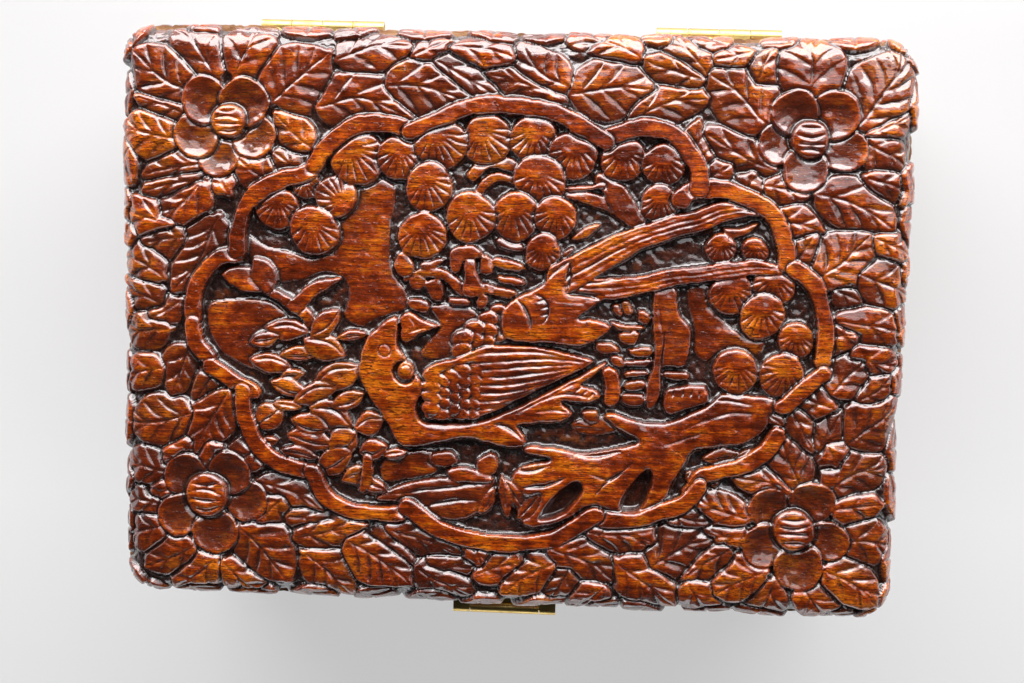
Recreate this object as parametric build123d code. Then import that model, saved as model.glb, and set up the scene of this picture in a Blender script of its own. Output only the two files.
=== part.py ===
from build123d import *
import math
import os

# A carved camphor-wood keepsake box with a hinged lid, two brass butt hinges and a brass hasp.
# The box stands on its flat underside at Z = 0, with its front towards -Y and its hinges at the back (+Y).
# The origin is the centre of the underside. All sizes are in millimetres.

# ---- Box -----------------------------------------------------------------------------------------
box_width = 241.0          # along X, over the outer faces of the walls and the lid
box_depth = 178.0          # along Y, over the outer faces
body_height = 82.0         # underside to the joint between body and lid
wall_thickness = 11.0      # walls of the body and rails of the lid
corner_radius = 12.0       # upright corners, in plan
rail_height = 8.0          # lid rails, under the carved board
board_thickness = 11.0     # carved board on top of the rails
edge_radius = 8.0          # round-over of the board's upper edge
base_thickness = 6.0       # bottom board, let into the walls from below
rebate_width = 5.0         # how far the bottom board reaches into each wall
joiner_clearance = 0.15    # gap round a board that is let in
cut_overrun = 1.0          # how far a cut runs past the face that it starts from

# ---- Hinges --------------------------------------------------------------------------------------
hinge_length = 38.0
hinge_spacing = 122.0      # between the middles of the two hinges
hinge_leaf_depth = 8.0     # how far a leaf reaches into the joint from the back face
hinge_offset = 0.5         # pin axis behind the back face
hinge_knuckles = 4
leaf_thickness = 1.0
barrel_radius = 2.0
pin_radius = 1.0
pin_clearance = 0.05       # pin in its knuckles, on the radius
knuckle_gap = 0.35         # between one knuckle and the next
barrel_clearance = 0.35    # between a barrel and the wood or leaf that it turns past
mortise_clearance = 0.2    # round a leaf in its mortise

# ---- Screws and nails ----------------------------------------------------------------------------
screw_radius = 1.1
screw_length = 6.4         # a screw through a lid leaf ends inside the rail
screw_head_radius = 2.1
screw_head_depth = 0.8
screw_slot = 0.5           # width and depth of the driver's slot
screws_per_leaf = 2
screw_end_margin = 7.5     # from a leaf's end to its outer screw
pilot_clearance = 0.05
base_nail_radius = 0.7     # headless, set flush with the underside
base_nail_length = 14.0
long_side_nails = 3
short_side_nails = 2
base_nail_inset = 24.0     # from a corner to the nearest nail

# ---- Hasp ----------------------------------------------------------------------------------------
hasp_width = 33.0          # fixed leaf, over its outer knuckles
strap_width = 22.0         # swinging strap, which is also its knuckle's length
strap_length = 25.0        # pin axis to the strap's lower end
strap_corner_radius = 7.0
strap_lip = 1.4            # finger lip turned outwards at the lower end
hasp_offset = 4.6          # pin axis in front of the front face
hasp_leaf_depth = 8.0      # how far the fixed leaf reaches into the joint from the front face
hasp_screws = 2
hasp_screw_margin = 6.0    # from the leaf's end to its screw
slot_width = 3.4           # in the strap, over the staple
slot_height = 9.5
slot_corner_radius = 1.0
pin_chamfer = 0.4

# ---- Staple --------------------------------------------------------------------------------------
staple_drop = 13.0         # pin axis of the hasp down to the middle of the eye
staple_plate_width = 13.0
staple_plate_height = 9.0
staple_plate_thickness = 0.8
staple_thickness = 2.0
eye_radius = 1.7           # hole for a small padlock's shackle
eye_wall = 1.3
eye_reach = 5.9            # eye's middle in front of the front face
staple_plate_corner = 2.7
staple_nail_spacing = 9.0
staple_nail_length = 8.0
staple_nail_radius = 0.7
staple_nail_head_radius = 1.5
staple_nail_head_height = 0.6

# ---- Carving -------------------------------------------------------------------------------------
# The lid's drawing is laid out from the middle of a board of this size, and stretched to the real one.
drawing_width = 241.0
drawing_depth = 178.0
border_relief = 1.4        # uncut face down to the wood between the border's leaves
side_relief = 0.6          # the same on the board's sides, which the leaves reach over
field_depth = 3.0          # down to the ground of the scene
hollow_depth = 3.8         # down to the floor of the trunk's hollows
frame_width = 5.0          # scalloped frame round the scene
midrib_width = 1.3         # cut along the middle of the high leaves
round_sides = 8            # facets of the small round forms
high_leaf_drop = 0.2       # uncut face down to the top of every other leaf
low_leaf_drop = 0.7        # and of the leaves between them
petal_drop = 0.9
wing_drop = 0.1
figure_drop = 0.5          # bird, tail plumes and trunk
tuft_drop = 0.8            # pine tufts, the post and the bushes
rock_drop = 1.4
leaf_shoulders = (0.35, 0.7)    # places along a leaf where it has its full width, and most of it
leaf_narrowing = 0.8            # its width at the second of them, as a share of the full width
midrib_ends = (0.15, 0.85)      # places along a leaf where its midrib starts and ends

# Scalloped frame: where each lobe starts, and a point in its middle; it ends where the next one starts
frame_lobes = [
    ((-84, 20), (-94, 12)), ((-97.2, -2), (-95.5, -9)),
    ((-92, -13.5), (-86, -18.5)), ((-80.5, -22), (-75, -41)),
    ((-59.5, -48), (-47.5, -58.5)), ((-29.5, -57.2), (-1, -67.8)), ((28, -57.8), (47, -57)),
    ((58.5, -48), (74, -39.5)), ((83, -24), (91, -17)), ((95, -11), (93.8, 9)), ((83.5, 20.5), (75, 38)),
    ((55, 42.5), (44, 59.5)), ((27, 56.8), (-2, 66)), ((-31, 57.7), (-48, 59)), ((-59.5, 47), (-77, 38.5)),
]

# Corner flowers: the middle, its radius, and each petal's middle and radius
corner_flowers = [
    ((-86.5, 59.5), 5.3,
     [(-89.5, 49, 6.4), (-78.8, 55, 6.6), (-96.3, 55, 6.6), (-93.5, 65.5, 7.0), (-81.8, 65.3, 7.6)]),
    ((87.8, 58.7), 5.5,
     [(97.8, 55.3, 6.7), (79, 57, 6.2), (95, 65.8, 7.0), (83, 66, 7.0), (86.8, 49.3, 6.8)]),
    ((-92.8, -55.5), 6.8,
     [(-80.3, -57.5, 6.6), (-85.8, -48.7, 6.6), (-99.5, -49.5, 6.5), (-101.3, -62.3, 6.6), (-90, -67.3, 7.0)]),
    ((88.8, -60), 6.3,
     [(81, -53.8, 6.2), (94, -51.5, 6.6), (99, -63, 6.3), (80.2, -65.3, 6.8), (90.7, -71.5, 7.2)]),
]

# Main leaves of the border: base, tip and width; some reach over the rounded edge
border_leaves = [
    ((-92, 71), (-106, 87), 13), ((-83, 73), (-77, 81), 10),
    ((-73, 65), (-55, 83), 18), ((-38, 71), (-14, 68), 12),
    ((-54, 75), (-32, 78), 10), ((16, 68), (42, 72), 13), ((15, 73), (-2, 90), 13), ((56, 75), (38, 79), 9),
    ((77, 63), (57, 78), 15), ((101, 58), (111, 52), 10),
    ((88, 72), (84, 90), 16), ((104, 66), (111, 78), 13),
    ((90, 42), (121, 33), 14), ((91, 18), (107, 31), 13),
    ((104, 19), (112, 12), 10), ((99, 5), (121, 2), 10),
    ((98, -18), (110, -5), 11), ((103, -34), (121, -20), 14),
    ((97, -47), (112, -39), 11), ((91, -46), (83, -30), 9),
    ((98, -73), (115, -84), 13), ((84, -75), (74, -80), 9),
    ((65, -62), (45, -74), 11), ((40, -77), (56, -90), 13),
    ((36, -76), (15, -70), 9), ((14, -77), (0, -90), 11),
    ((-12, -74), (-37, -64), 9), ((-28, -77), (-8, -80), 9),
    ((-49, -68), (-30, -80), 12), ((-62, -74), (-48, -90), 13),
    ((-80, -67), (-67, -80), 13), ((-90, -77), (-104, -88), 12),
    ((-98, -72), (-111, -77), 10), ((-97, -31), (-121, -37), 13),
    ((-86, -24), (-95, -43), 11), ((-107, -58), (-112, -46), 9),
    ((-98, -9), (-104, -24), 10), ((-104, -5), (-121, -9), 11),
    ((-91, 30), (-103, 9), 13), ((-106, 14), (-112, 24), 9),
    ((-93, 41), (-121, 31), 13), ((-104, 52), (-112, 44), 9), ((-98, 68), (-112, 77), 13),
]

# Pine tufts: middle and radius
pine_tufts = [
    (-53.5, 37.8, 6.0), (-71, 33.5, 6.2), (-60, 27, 7.0),
    (-47, 49.5, 7.6), (-34.5, 50, 6.2), (-8, 55.8, 7.2),
    (6, 56.3, 6.9), (-22, 54, 7.4), (33, 51.2, 6.4), (45, 49.5, 6.0), (18, 51.7, 6.9), (-25.5, 41, 6.8),
    (8, 43.8, 7.3), (1, 33, 6.7), (-12.5, 32.5, 7.2), (-27, 26.6, 6.8), (66.5, 11.5, 6.0), (79, 14.5, 6.2),
    (76, 5, 6.3), (69, -11.5, 6.3), (82.5, -12.5, 6.2),
]

# Tail plumes: start, middle, end and width
tail_plumes = [((14, 12), (50, 16), (86, 19.5), 5.0), ((17, 16), (45, 30), (76, 36), 7.0)]

# The bird's wing, its back, and its head, breast and flank
wing = [
    (-26, -15), (-14, -9.3), (4, -6), (26, -9.8), (14, -18.5), (-2, -27.5), (-18, -31.5), (-26, -30.8),
]
bird_back = [
    (-14, -4), (-3, 7), (8, 12), (18, 20), (17, 10.4),
    (28, 9.6), (21, 2.8), (30.5, 0.5), (22, -6), (-10, -9),
]
bird_breast = [
    (-36.5, 1.2), (-30, 3), (-21, -0.7), (-31, -6), (-31, -12),
    (-25, -20), (-26, -30), (-9, -30), (16, -17.6),
    (30, -10), (28.6, -21), (17, -28.6), (4, -31), (6, -36),
    (-12, -35.4), (-30, -38.4), (-39, -27.5), (-46, -17), (-43, -4.5),
]

# The pine's trunk and root, with two hollows, and the post behind the bird
trunk = [
    (3, -45), (8, -41), (7, -37), (24, -38), (39, -34.5),
    (31, -27), (50, -27.5), (67, -18), (82, -19.5), (80.5, -27),
    (64, -35.5), (55, -39), (49, -53), (42, -56), (26, -56), (18, -60), (8, -62), (2, -50),
]
trunk_hollows = [
    [(10, -60), (18, -48.5), (23, -47), (21.5, -55), (17, -59)],
    [(34.5, -55), (41, -44), (45, -43.5), (44.5, -51), (41, -55.5)],
]
post = [
    (43.5, 12.5), (50, 12.5), (54, 0), (53.5, -10.5), (47, -11),
    (46.6, -20), (43.5, -24), (42, -20), (44, -6),
]

# Bushes at the left: base, tip and width
bushes = [
    ((-76, 9), (-61, 0), 4), ((-66, 5), (-52, 12.5), 4),
    ((-61, -4), (-76, -2.5), 7), ((-66, -15), (-79, -13), 7),
    ((-50, -11), (-64, -6), 8), ((-45, -14), (-60, -21), 9),
    ((-47, -32), (-62, -26), 9), ((-54, -38), (-69, -36), 8),
    ((-48, -40), (-59, -47), 9), ((-36, -37), (-47, -34), 8),
]
rock = [(-40, -55), (-36, -52), (-18, -46), (-3, -47), (-6, -56), (-14, -61), (-26, -59)]

# ---- Carving of the front wall -------------------------------------------------------------------
wall_relief = 1.5          # uncut face down to the wood between the leaves
wall_petal_drop = 0.6
panel_margin = 3.0         # uncut edge above and below the carving
panel_end_margin = 14.0    # uncut stretch at each end of the wall
wall_leaf_pitch = 19.0
wall_leaf_length = 17.0
wall_leaf_width = 11.0
flower_clearance = 2.0     # between a flower and the nearest leaf's middle, past the leaf's half length
staple_rest_margin = 2.0   # uncut wood round the staple's plate
petals_per_flower = 5
petal_distance = 1.75      # petal's middle from the flower's, in radii of the flower's middle
petal_size = 1.15          # petal's radius, in the same radii
# Flowers of the front wall: place along the wall from its middle, height above the wall's middle, radius
wall_flowers = [(-78, 1, 6.0), (78, -1, 6.0), (-38, -9, 4.6), (38, -9, 4.6)]

# ---- Levels and faces worked out from the sizes --------------------------------------------------
joint_z = body_height
board_z = joint_z + rail_height
top_z = board_z + board_thickness
front_y = -box_depth / 2
back_y = box_depth / 2
hinge_axis = (back_y + hinge_offset, joint_z)
hasp_axis = (front_y - hasp_offset, joint_z + leaf_thickness - barrel_radius)
hinge_centres = {"left": -hinge_spacing / 2, "right": hinge_spacing / 2}
SIDES = ("front", "right", "back", "left")


def block(x, y, z):
    """A box between two corners, given as three (low, high) pairs."""
    size = [high - low for low, high in (x, y, z)]
    middle = [(high + low) / 2 for low, high in (x, y, z)]
    return Pos(*middle) * Box(*size)


def rod_x(x_low, x_high, y, z, radius):
    """A round rod along X."""
    length = x_high - x_low
    return Pos((x_low + x_high) / 2, y, z) * Rot(0, 90, 0) * Cylinder(radius, length)


def rounded_prism(width, depth, radius, z_low, z_high):
    """An upright prism with a rounded rectangle as its plan."""
    plan = Pos(0, 0, z_low) * RectangleRounded(width, depth, radius)
    return extrude(plan, z_high - z_low)


def facing_front(sketch, depth):
    """A cut into the front face, from a sketch whose X runs along the wall and whose Y is the height."""
    return Pos(0, front_y + depth, 0) * Rot(90, 0, 0) * extrude(sketch, depth + cut_overrun)


def spread(count, reach):
    """Evenly spaced places from -reach to reach."""
    if count == 1:
        return [0.0]
    return [-reach + 2 * reach * i / (count - 1) for i in range(count)]


# ---- Wooden parts --------------------------------------------------------------------------------
def mitred(ring, side, z_low, z_high):
    """One side of a rectangular ring, cut from its neighbours on 45 degree mitres."""
    along, across = (box_width, box_depth) if side in ("front", "back") else (box_depth, box_width)
    reach = wall_thickness + corner_radius
    wedge = Polyline(
        (-along / 2, -across / 2),
        (along / 2, -across / 2),
        (along / 2 - reach, -across / 2 + reach),
        (-along / 2 + reach, -across / 2 + reach),
        close=True,
    )
    prism = extrude(Pos(0, 0, z_low) * make_face(wedge), z_high - z_low)
    return ring & (Rot(0, 0, 90 * SIDES.index(side)) * prism)


def ring_of_wood(z_low, z_high):
    """The four walls, or the four rails, before they are parted at the mitres."""
    outside = rounded_prism(box_width, box_depth, corner_radius, z_low, z_high)
    inside = block(
        (-box_width / 2 + wall_thickness, box_width / 2 - wall_thickness),
        (-box_depth / 2 + wall_thickness, box_depth / 2 - wall_thickness),
        (z_low, z_high),
    )
    return outside - inside


def base_plan(clearance):
    """Width and depth of the bottom board, or of its rebate when clearance is 0."""
    reach = 2 * (wall_thickness - rebate_width + clearance)
    return box_width - reach, box_depth - reach


def make_walls():
    ring = ring_of_wood(0, joint_z)
    width, depth = base_plan(0)
    ring -= block((-width / 2, width / 2), (-depth / 2, depth / 2), (0, base_thickness))
    ring -= hinge_mortises(below=True)
    ring -= screw_pilots(hinge_screw_places(below=True), leaf_floor(below=True), down=True)
    ring -= base_nail_holes()
    ring -= staple_nail_holes()
    walls = {f"{side}_wall": mitred(ring, side, 0, joint_z) for side in SIDES}
    walls["front_wall"] -= front_carving()
    return walls


def make_rails():
    ring = ring_of_wood(joint_z, board_z)
    ring -= hinge_mortises(below=False)
    ring -= hasp_mortise()
    ring -= screw_pilots(hinge_screw_places(below=False), leaf_floor(below=False), down=False)
    ring -= screw_pilots(hasp_screw_places(), joint_z + leaf_thickness, down=False)
    return {f"{side}_rail": mitred(ring, side, joint_z, board_z) for side in SIDES}


def make_base():
    width, depth = base_plan(joiner_clearance)
    board = block((-width / 2, width / 2), (-depth / 2, depth / 2), (0, base_thickness))
    return board - base_nail_holes()


def board_blank(drop, inset):
    """The lid's board with its rounded edge, cut down by a drop at its top and an inset at its sides."""
    width, depth = box_width - 2 * inset, box_depth - 2 * inset
    blank = rounded_prism(width, depth, corner_radius - inset, board_z, top_z - drop)
    return fillet(blank.faces().sort_by(Axis.Z)[-1].edges(), edge_radius - drop)


def make_board():
    """The carved board: a ground round the border, a deeper field, and the forms left standing on them."""
    petals, bosses = flower_sketches(corner_flowers)
    frame = frame_band()
    flowers = petals + bosses
    board = board_blank(border_relief, side_relief) - risen(frame_field(), field_depth, top_z)
    high_leaves, low_leaves = border_leaves[0::2], border_leaves[1::2]
    standing = [
        risen(frame + bosses, 0),
        risen(petals - bosses - frame, petal_drop),
        risen(leaf_sketch(high_leaves, ribbed=True) - flowers - frame, high_leaf_drop),
        risen(leaf_sketch(low_leaves) - leaf_sketch(high_leaves) - flowers - frame, low_leaf_drop),
        risen(outline_sketch(wing), wing_drop),
        risen(outline_sketch(bird_back) + outline_sketch(bird_breast) + plume_sketch(), figure_drop),
        risen(outline_sketch(trunk), figure_drop),
        risen(tuft_sketch() + outline_sketch(post) + leaf_sketch(bushes), tuft_drop),
        risen(outline_sketch(rock), rock_drop),
    ]
    board += [board_blank(0, 0) & form for form in standing]
    for hollow in trunk_hollows:
        board -= risen(outline_sketch(hollow), hollow_depth, top_z)
    return board


# ---- Carving -------------------------------------------------------------------------------------
def on_lid(x, y):
    """A place of the lid's drawing, stretched to the board."""
    return x * box_width / drawing_width, y * box_depth / drawing_depth


def drawn(size):
    """A round size of the lid's drawing, at the scale of the board's shorter stretch."""
    return size * min(box_width / drawing_width, box_depth / drawing_depth)


def risen(sketch, drop, ceiling=None):
    """An upright form that ends a drop below the uncut face; with a ceiling, a cut from there upwards."""
    if ceiling is None:
        return extrude(Pos(0, 0, board_z) * sketch, top_z - drop - board_z)
    return extrude(Pos(0, 0, top_z - drop) * sketch, ceiling - top_z + drop + cut_overrun)


def outline_sketch(points):
    return make_face(Polyline(*[on_lid(x, y) for x, y in points], close=True))


def frame_arcs():
    starts = [start for start, _ in frame_lobes]
    ends = starts[1:] + starts[:1]
    return [
        ThreePointArc(on_lid(*start), on_lid(*middle), on_lid(*end))
        for (start, middle), end in zip(frame_lobes, ends)
    ]


def frame_field():
    """Everything inside the middle line of the frame."""
    return make_face(frame_arcs())


def frame_band():
    return Sketch() + [trace(arc, line_width=frame_width) for arc in frame_arcs()]


def leaf_outline(base, tip, width, ribbed=False):
    """A pointed leaf, with a slim cut along its middle where it is ribbed."""
    base, tip = Vector(base), Vector(tip)
    way = tip - base
    aside = Vector(-way.Y, way.X).normalized() * (width / 2)
    full, narrow = [base + way * share for share in leaf_shoulders]
    narrow_aside = aside * leaf_narrowing
    edge = [base, full + aside, narrow + narrow_aside, tip, narrow - narrow_aside, full - aside]
    leaf = make_face(Polyline(*edge, close=True))
    if not ribbed:
        return leaf
    rib = aside.normalized() * (midrib_width / 2)
    start, end = [base + way * share for share in midrib_ends]
    return leaf - make_face(Polyline(start, full + rib, end, full - rib, close=True))


def leaf_sketch(leaves, ribbed=False):
    return Sketch() + [
        leaf_outline(on_lid(*base), on_lid(*tip), drawn(width), ribbed) for base, tip, width in leaves
    ]


def flower_sketches(flowers):
    """All the petals, and all the round middles."""
    petals = [Pos(*on_lid(x, y)) * Circle(drawn(radius)) for _, _, ring in flowers for x, y, radius in ring]
    bosses = [Pos(*on_lid(*middle)) * Circle(drawn(radius)) for middle, radius, _ in flowers]
    return Sketch() + petals, Sketch() + bosses


def tuft_sketch():
    return Sketch() + [
        Pos(*on_lid(x, y)) * RegularPolygon(drawn(radius), round_sides) for x, y, radius in pine_tufts
    ]


def plume_sketch():
    return Sketch() + [
        trace(ThreePointArc(on_lid(*start), on_lid(*middle), on_lid(*end)), line_width=drawn(width))
        for start, middle, end, width in tail_plumes
    ]


def wall_flower_place(flower):
    along, up, radius = flower
    return along * box_width / drawing_width, body_height / 2 + up, radius


def wall_rosette(flower):
    """A flower of the front wall: its petals in a ring, and its round middle."""
    x, z, radius = wall_flower_place(flower)
    ring = [
        Pos(x, z) * Rot(0, 0, 360 * k / petals_per_flower)
        * Pos(radius * petal_distance, 0) * RegularPolygon(radius * petal_size, round_sides)
        for k in range(petals_per_flower)
    ]
    return Sketch() + ring, Pos(x, z) * RegularPolygon(radius, round_sides)


def wall_leaves(half_length, half_height):
    """Leaves in staggered rows, each pointing away from the nearest flower."""
    rows = max(2, round(2 * half_height / wall_leaf_pitch))
    columns = max(2, round(2 * half_length / wall_leaf_pitch))
    places = [wall_flower_place(flower) for flower in wall_flowers]
    leaves = []
    for row in range(rows + 1):
        z = body_height / 2 - half_height + 2 * half_height * row / rows
        for column in range(columns + 1):
            x = half_length * (2 * (column + row % 2 / 2) / columns - 1)
            gaps = [
                math.hypot(x - fx, z - fz) - radius * (petal_distance + petal_size)
                for fx, fz, radius in places
            ]
            nearest = gaps.index(min(gaps))
            if gaps[nearest] < flower_clearance or abs(x) > half_length:
                continue
            fx, fz, _ = places[nearest]
            step = Vector(x - fx, z - fz).normalized() * (wall_leaf_length / 2)
            middle = Vector(x, z)
            leaves.append(leaf_outline(middle - step, middle + step, wall_leaf_width))
    return leaves


def staple_rest():
    """The flat place that is left for the staple's plate."""
    width = staple_plate_width + 2 * staple_rest_margin
    height = staple_plate_height + 2 * staple_rest_margin
    return Pos(0, hasp_axis[1] - staple_drop) * Rectangle(width, height)


def front_carving():
    """What is cut from the front wall's face: the ground between the leaves, and the petals a little."""
    half_length = box_width / 2 - panel_end_margin
    half_height = body_height / 2 - panel_margin
    panel = Pos(0, body_height / 2) * Rectangle(2 * half_length, 2 * half_height)
    rosettes = [wall_rosette(flower) for flower in wall_flowers]
    petals = Sketch() + [ring for ring, _ in rosettes]
    bosses = Sketch() + [middle for _, middle in rosettes]
    ground = panel - wall_leaves(half_length, half_height) - petals - bosses - staple_rest()
    return [facing_front(ground, wall_relief), facing_front(petals - bosses, wall_petal_drop)]


# ---- Hinges --------------------------------------------------------------------------------------
def leaf_floor(below):
    """Height of the wood that a hinge leaf lies on."""
    return joint_z - barrel_radius if below else joint_z + barrel_radius


def hinge_mortises(below):
    """Recesses for both hinges in the body (below the joint) or in the lid."""
    floor = leaf_floor(below)
    low, high = (floor, joint_z) if below else (joint_z, floor)
    reach = hinge_length / 2 + mortise_clearance
    cuts = []
    for x in hinge_centres.values():
        cuts.append(block(
            (x - reach, x + reach),
            (back_y - hinge_leaf_depth - mortise_clearance, back_y + barrel_radius),
            (low, high),
        ))
        cuts.append(rod_x(x - reach, x + reach, *hinge_axis, barrel_radius + barrel_clearance))
    return cuts


def knuckle_spans(count, length):
    """Where each knuckle of a barrel starts and ends, along X from the barrel's middle."""
    pitch = length / count
    half_gap = knuckle_gap / 2
    spans = []
    for i in range(count):
        low = -length / 2 + i * pitch + (half_gap if i else 0)
        high = -length / 2 + (i + 1) * pitch - (half_gap if i < count - 1 else 0)
        spans.append((low, high))
    return spans


def knuckles(spans, x, y, z):
    """Rolled knuckles, bored for the pin."""
    rings = [rod_x(x + low, x + high, y, z, barrel_radius) for low, high in spans]
    bore = rod_x(x - hinge_length, x + hinge_length, y, z, pin_radius + pin_clearance)
    return Compound(children=[ring - bore for ring in rings])


def hinge_screw_places(below):
    """Middles of the screws through the leaves that lie below, or above, the joint."""
    y = back_y - (hinge_leaf_depth - barrel_clearance) / 2
    reach = hinge_length / 2 - screw_end_margin
    return [(x + step, y) for x in hinge_centres.values() for step in spread(screws_per_leaf, reach)]


def make_leaf(x, below):
    """One hinge leaf with every other knuckle: the body's leaf lies below the joint, the lid's above."""
    y, z = hinge_axis
    spans = knuckle_spans(hinge_knuckles, hinge_length)
    own = spans[1::2] if below else spans[0::2]
    other = spans[0::2] if below else spans[1::2]
    floor = leaf_floor(below)
    low, high = (floor, floor + leaf_thickness) if below else (floor - leaf_thickness, floor)
    plate = block((x - hinge_length / 2, x + hinge_length / 2), (back_y - hinge_leaf_depth, y), (low, high))
    turn = barrel_radius + barrel_clearance
    for start, end in other:
        notch_low = x + start - (knuckle_gap if start > -hinge_length / 2 else cut_overrun)
        notch_high = x + end + (knuckle_gap if end < hinge_length / 2 else cut_overrun)
        plate -= block((notch_low, notch_high), (y - turn, y + turn), (low - cut_overrun, high + cut_overrun))
    plate -= rod_x(x - hinge_length, x + hinge_length, y, z, pin_radius + pin_clearance)
    leaf = plate + [*knuckles(own, x, y, z).solids()]
    places = [place for place in hinge_screw_places(below) if abs(place[0] - x) < hinge_length / 2]
    return leaf - screw_countersinks(places, (high if below else low), down=below)


def make_pin(x_low, x_high, y, z):
    pin = rod_x(x_low, x_high, y, z, pin_radius)
    return chamfer(pin.edges().filter_by(GeomType.CIRCLE), pin_chamfer)


# ---- Screws and nails ----------------------------------------------------------------------------
def upright(x, y, z_low, z_high, radius):
    return Pos(x, y, (z_low + z_high) / 2) * Cylinder(radius, z_high - z_low)


def screw(x, y, face_z, down, clearance=0.0):
    """A countersunk screw, flush with face_z and driven down or up; with a clearance, the room for it."""
    cone = Cone(screw_head_radius + clearance, screw_radius + clearance, screw_head_depth)
    shank = Pos(0, 0, -screw_head_depth / 2 - (screw_length - screw_head_depth) / 2) * Cylinder(
        screw_radius + clearance, screw_length - screw_head_depth + 2 * clearance
    )
    body = Rot(180, 0, 0) * cone + shank
    body = Pos(0, 0, -screw_head_depth / 2) * body
    return Pos(x, y, face_z) * (body if down else Rot(180, 0, 0) * body)


def screw_pilots(places, floor, down):
    """Pilot holes under a leaf whose outer face lies on the floor of its mortise."""
    face = floor + leaf_thickness if down else floor - leaf_thickness
    return [screw(x, y, face, down, pilot_clearance) for x, y in places]


def screw_countersinks(places, face, down):
    return [screw(x, y, face, down, pilot_clearance) for x, y in places]


def screw_group(places, face, down):
    """Every screw of one kind, as separate solids in one node."""
    return Compound(children=[cut_slot(screw(x, y, face, down), x, y, face) for x, y in places])


def cut_slot(body, x, y, face):
    """A driver's slot across a screw head."""
    return body - block(
        (x - screw_head_radius, x + screw_head_radius),
        (y - screw_slot / 2, y + screw_slot / 2),
        (face - screw_slot, face + screw_slot),
    )


def base_nail_places():
    """Nails in the middle of the rebate, all round the bottom board."""
    x_line = box_width / 2 - wall_thickness + rebate_width / 2
    y_line = box_depth / 2 - wall_thickness + rebate_width / 2
    long_side = spread(long_side_nails, box_width / 2 - base_nail_inset)
    short_side = spread(short_side_nails, box_depth / 2 - base_nail_inset)
    places = [(x, side * y_line) for x in long_side for side in (-1, 1)]
    return places + [(side * x_line, y) for y in short_side for side in (-1, 1)]


def base_nail(x, y, clearance=0.0):
    return upright(x, y, 0, base_nail_length + clearance, base_nail_radius + clearance)


def base_nail_holes():
    return [base_nail(x, y, pilot_clearance) for x, y in base_nail_places()]


# ---- Hasp and staple -----------------------------------------------------------------------------
def hasp_screw_places():
    y = front_y + hasp_leaf_depth / 2
    reach = hasp_width / 2 - hasp_screw_margin
    return [(step, y) for step in spread(hasp_screws, reach)]


def hasp_mortise():
    reach = hasp_width / 2 + mortise_clearance
    return [block(
        (-reach, reach),
        (front_y - cut_overrun, front_y + hasp_leaf_depth + mortise_clearance),
        (joint_z, joint_z + leaf_thickness),
    )]


def make_hasp_leaf():
    """The hasp's fixed leaf, let into the underside of the front rail, with a knuckle at each end."""
    y, z = hasp_axis
    own_length = (hasp_width - strap_width) / 2 - knuckle_gap
    spans = [(-hasp_width / 2, -hasp_width / 2 + own_length), (hasp_width / 2 - own_length, hasp_width / 2)]
    low, high = joint_z, joint_z + leaf_thickness
    plate = block((-hasp_width / 2, hasp_width / 2), (y, front_y + hasp_leaf_depth), (low, high))
    turn = barrel_radius + barrel_clearance
    gap_reach = strap_width / 2 + knuckle_gap
    plate -= block((-gap_reach, gap_reach), (y - turn, y + turn), (low - cut_overrun, high + cut_overrun))
    leaf = plate + [*knuckles(spans, 0, y, z).solids()]
    return leaf - screw_countersinks(hasp_screw_places(), low, down=False)


def make_strap():
    """The swinging strap: one long knuckle, a slotted plate that hangs from it and a finger lip."""
    y, z = hasp_axis
    inner = y + barrel_radius
    half = strap_width / 2
    low = z - strap_length
    outline = block((-half, half), (inner - leaf_thickness, inner), (low, z))
    lower_corners = outline.edges().filter_by(Axis.Y).sort_by(Axis.Z)[:2]
    plate = fillet(lower_corners, strap_corner_radius)
    slot_middle = z - staple_drop
    slot = block(
        (-slot_width / 2, slot_width / 2),
        (inner - leaf_thickness - cut_overrun, inner + cut_overrun),
        (slot_middle - slot_height / 2, slot_middle + slot_height / 2),
    )
    slot = fillet(slot.edges().filter_by(Axis.Y), slot_corner_radius)
    lip_half = half - strap_corner_radius
    lip = block(
        (-lip_half, lip_half),
        (inner - leaf_thickness - strap_lip, inner - leaf_thickness),
        (low, low + leaf_thickness),
    )
    bore = rod_x(-hasp_width, hasp_width, y, z, pin_radius + pin_clearance)
    strap = plate - slot + lip + rod_x(-half, half, y, z, barrel_radius)
    return strap - bore


def staple_nail_places():
    z = hasp_axis[1] - staple_drop
    return [(side * staple_nail_spacing / 2, z) for side in (-1, 1)]


def staple_nail(x, z, clearance=0.0):
    """A round-headed pin driven into the front wall through the staple's plate."""
    face = front_y - staple_plate_thickness
    shank = Pos(x, face + staple_nail_length / 2, z) * Rot(90, 0, 0) * Cylinder(
        staple_nail_radius + clearance, staple_nail_length + 2 * clearance
    )
    if clearance:
        return shank
    dome = Pos(x, face, z) * Sphere(staple_nail_head_radius)
    outside = block(
        (x - staple_nail_head_radius, x + staple_nail_head_radius),
        (face - staple_nail_head_height, face),
        (z - staple_nail_head_radius, z + staple_nail_head_radius),
    )
    return shank + (dome & outside)


def staple_nail_holes():
    return [staple_nail(x, z, pilot_clearance) for x, z in staple_nail_places()]


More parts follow.
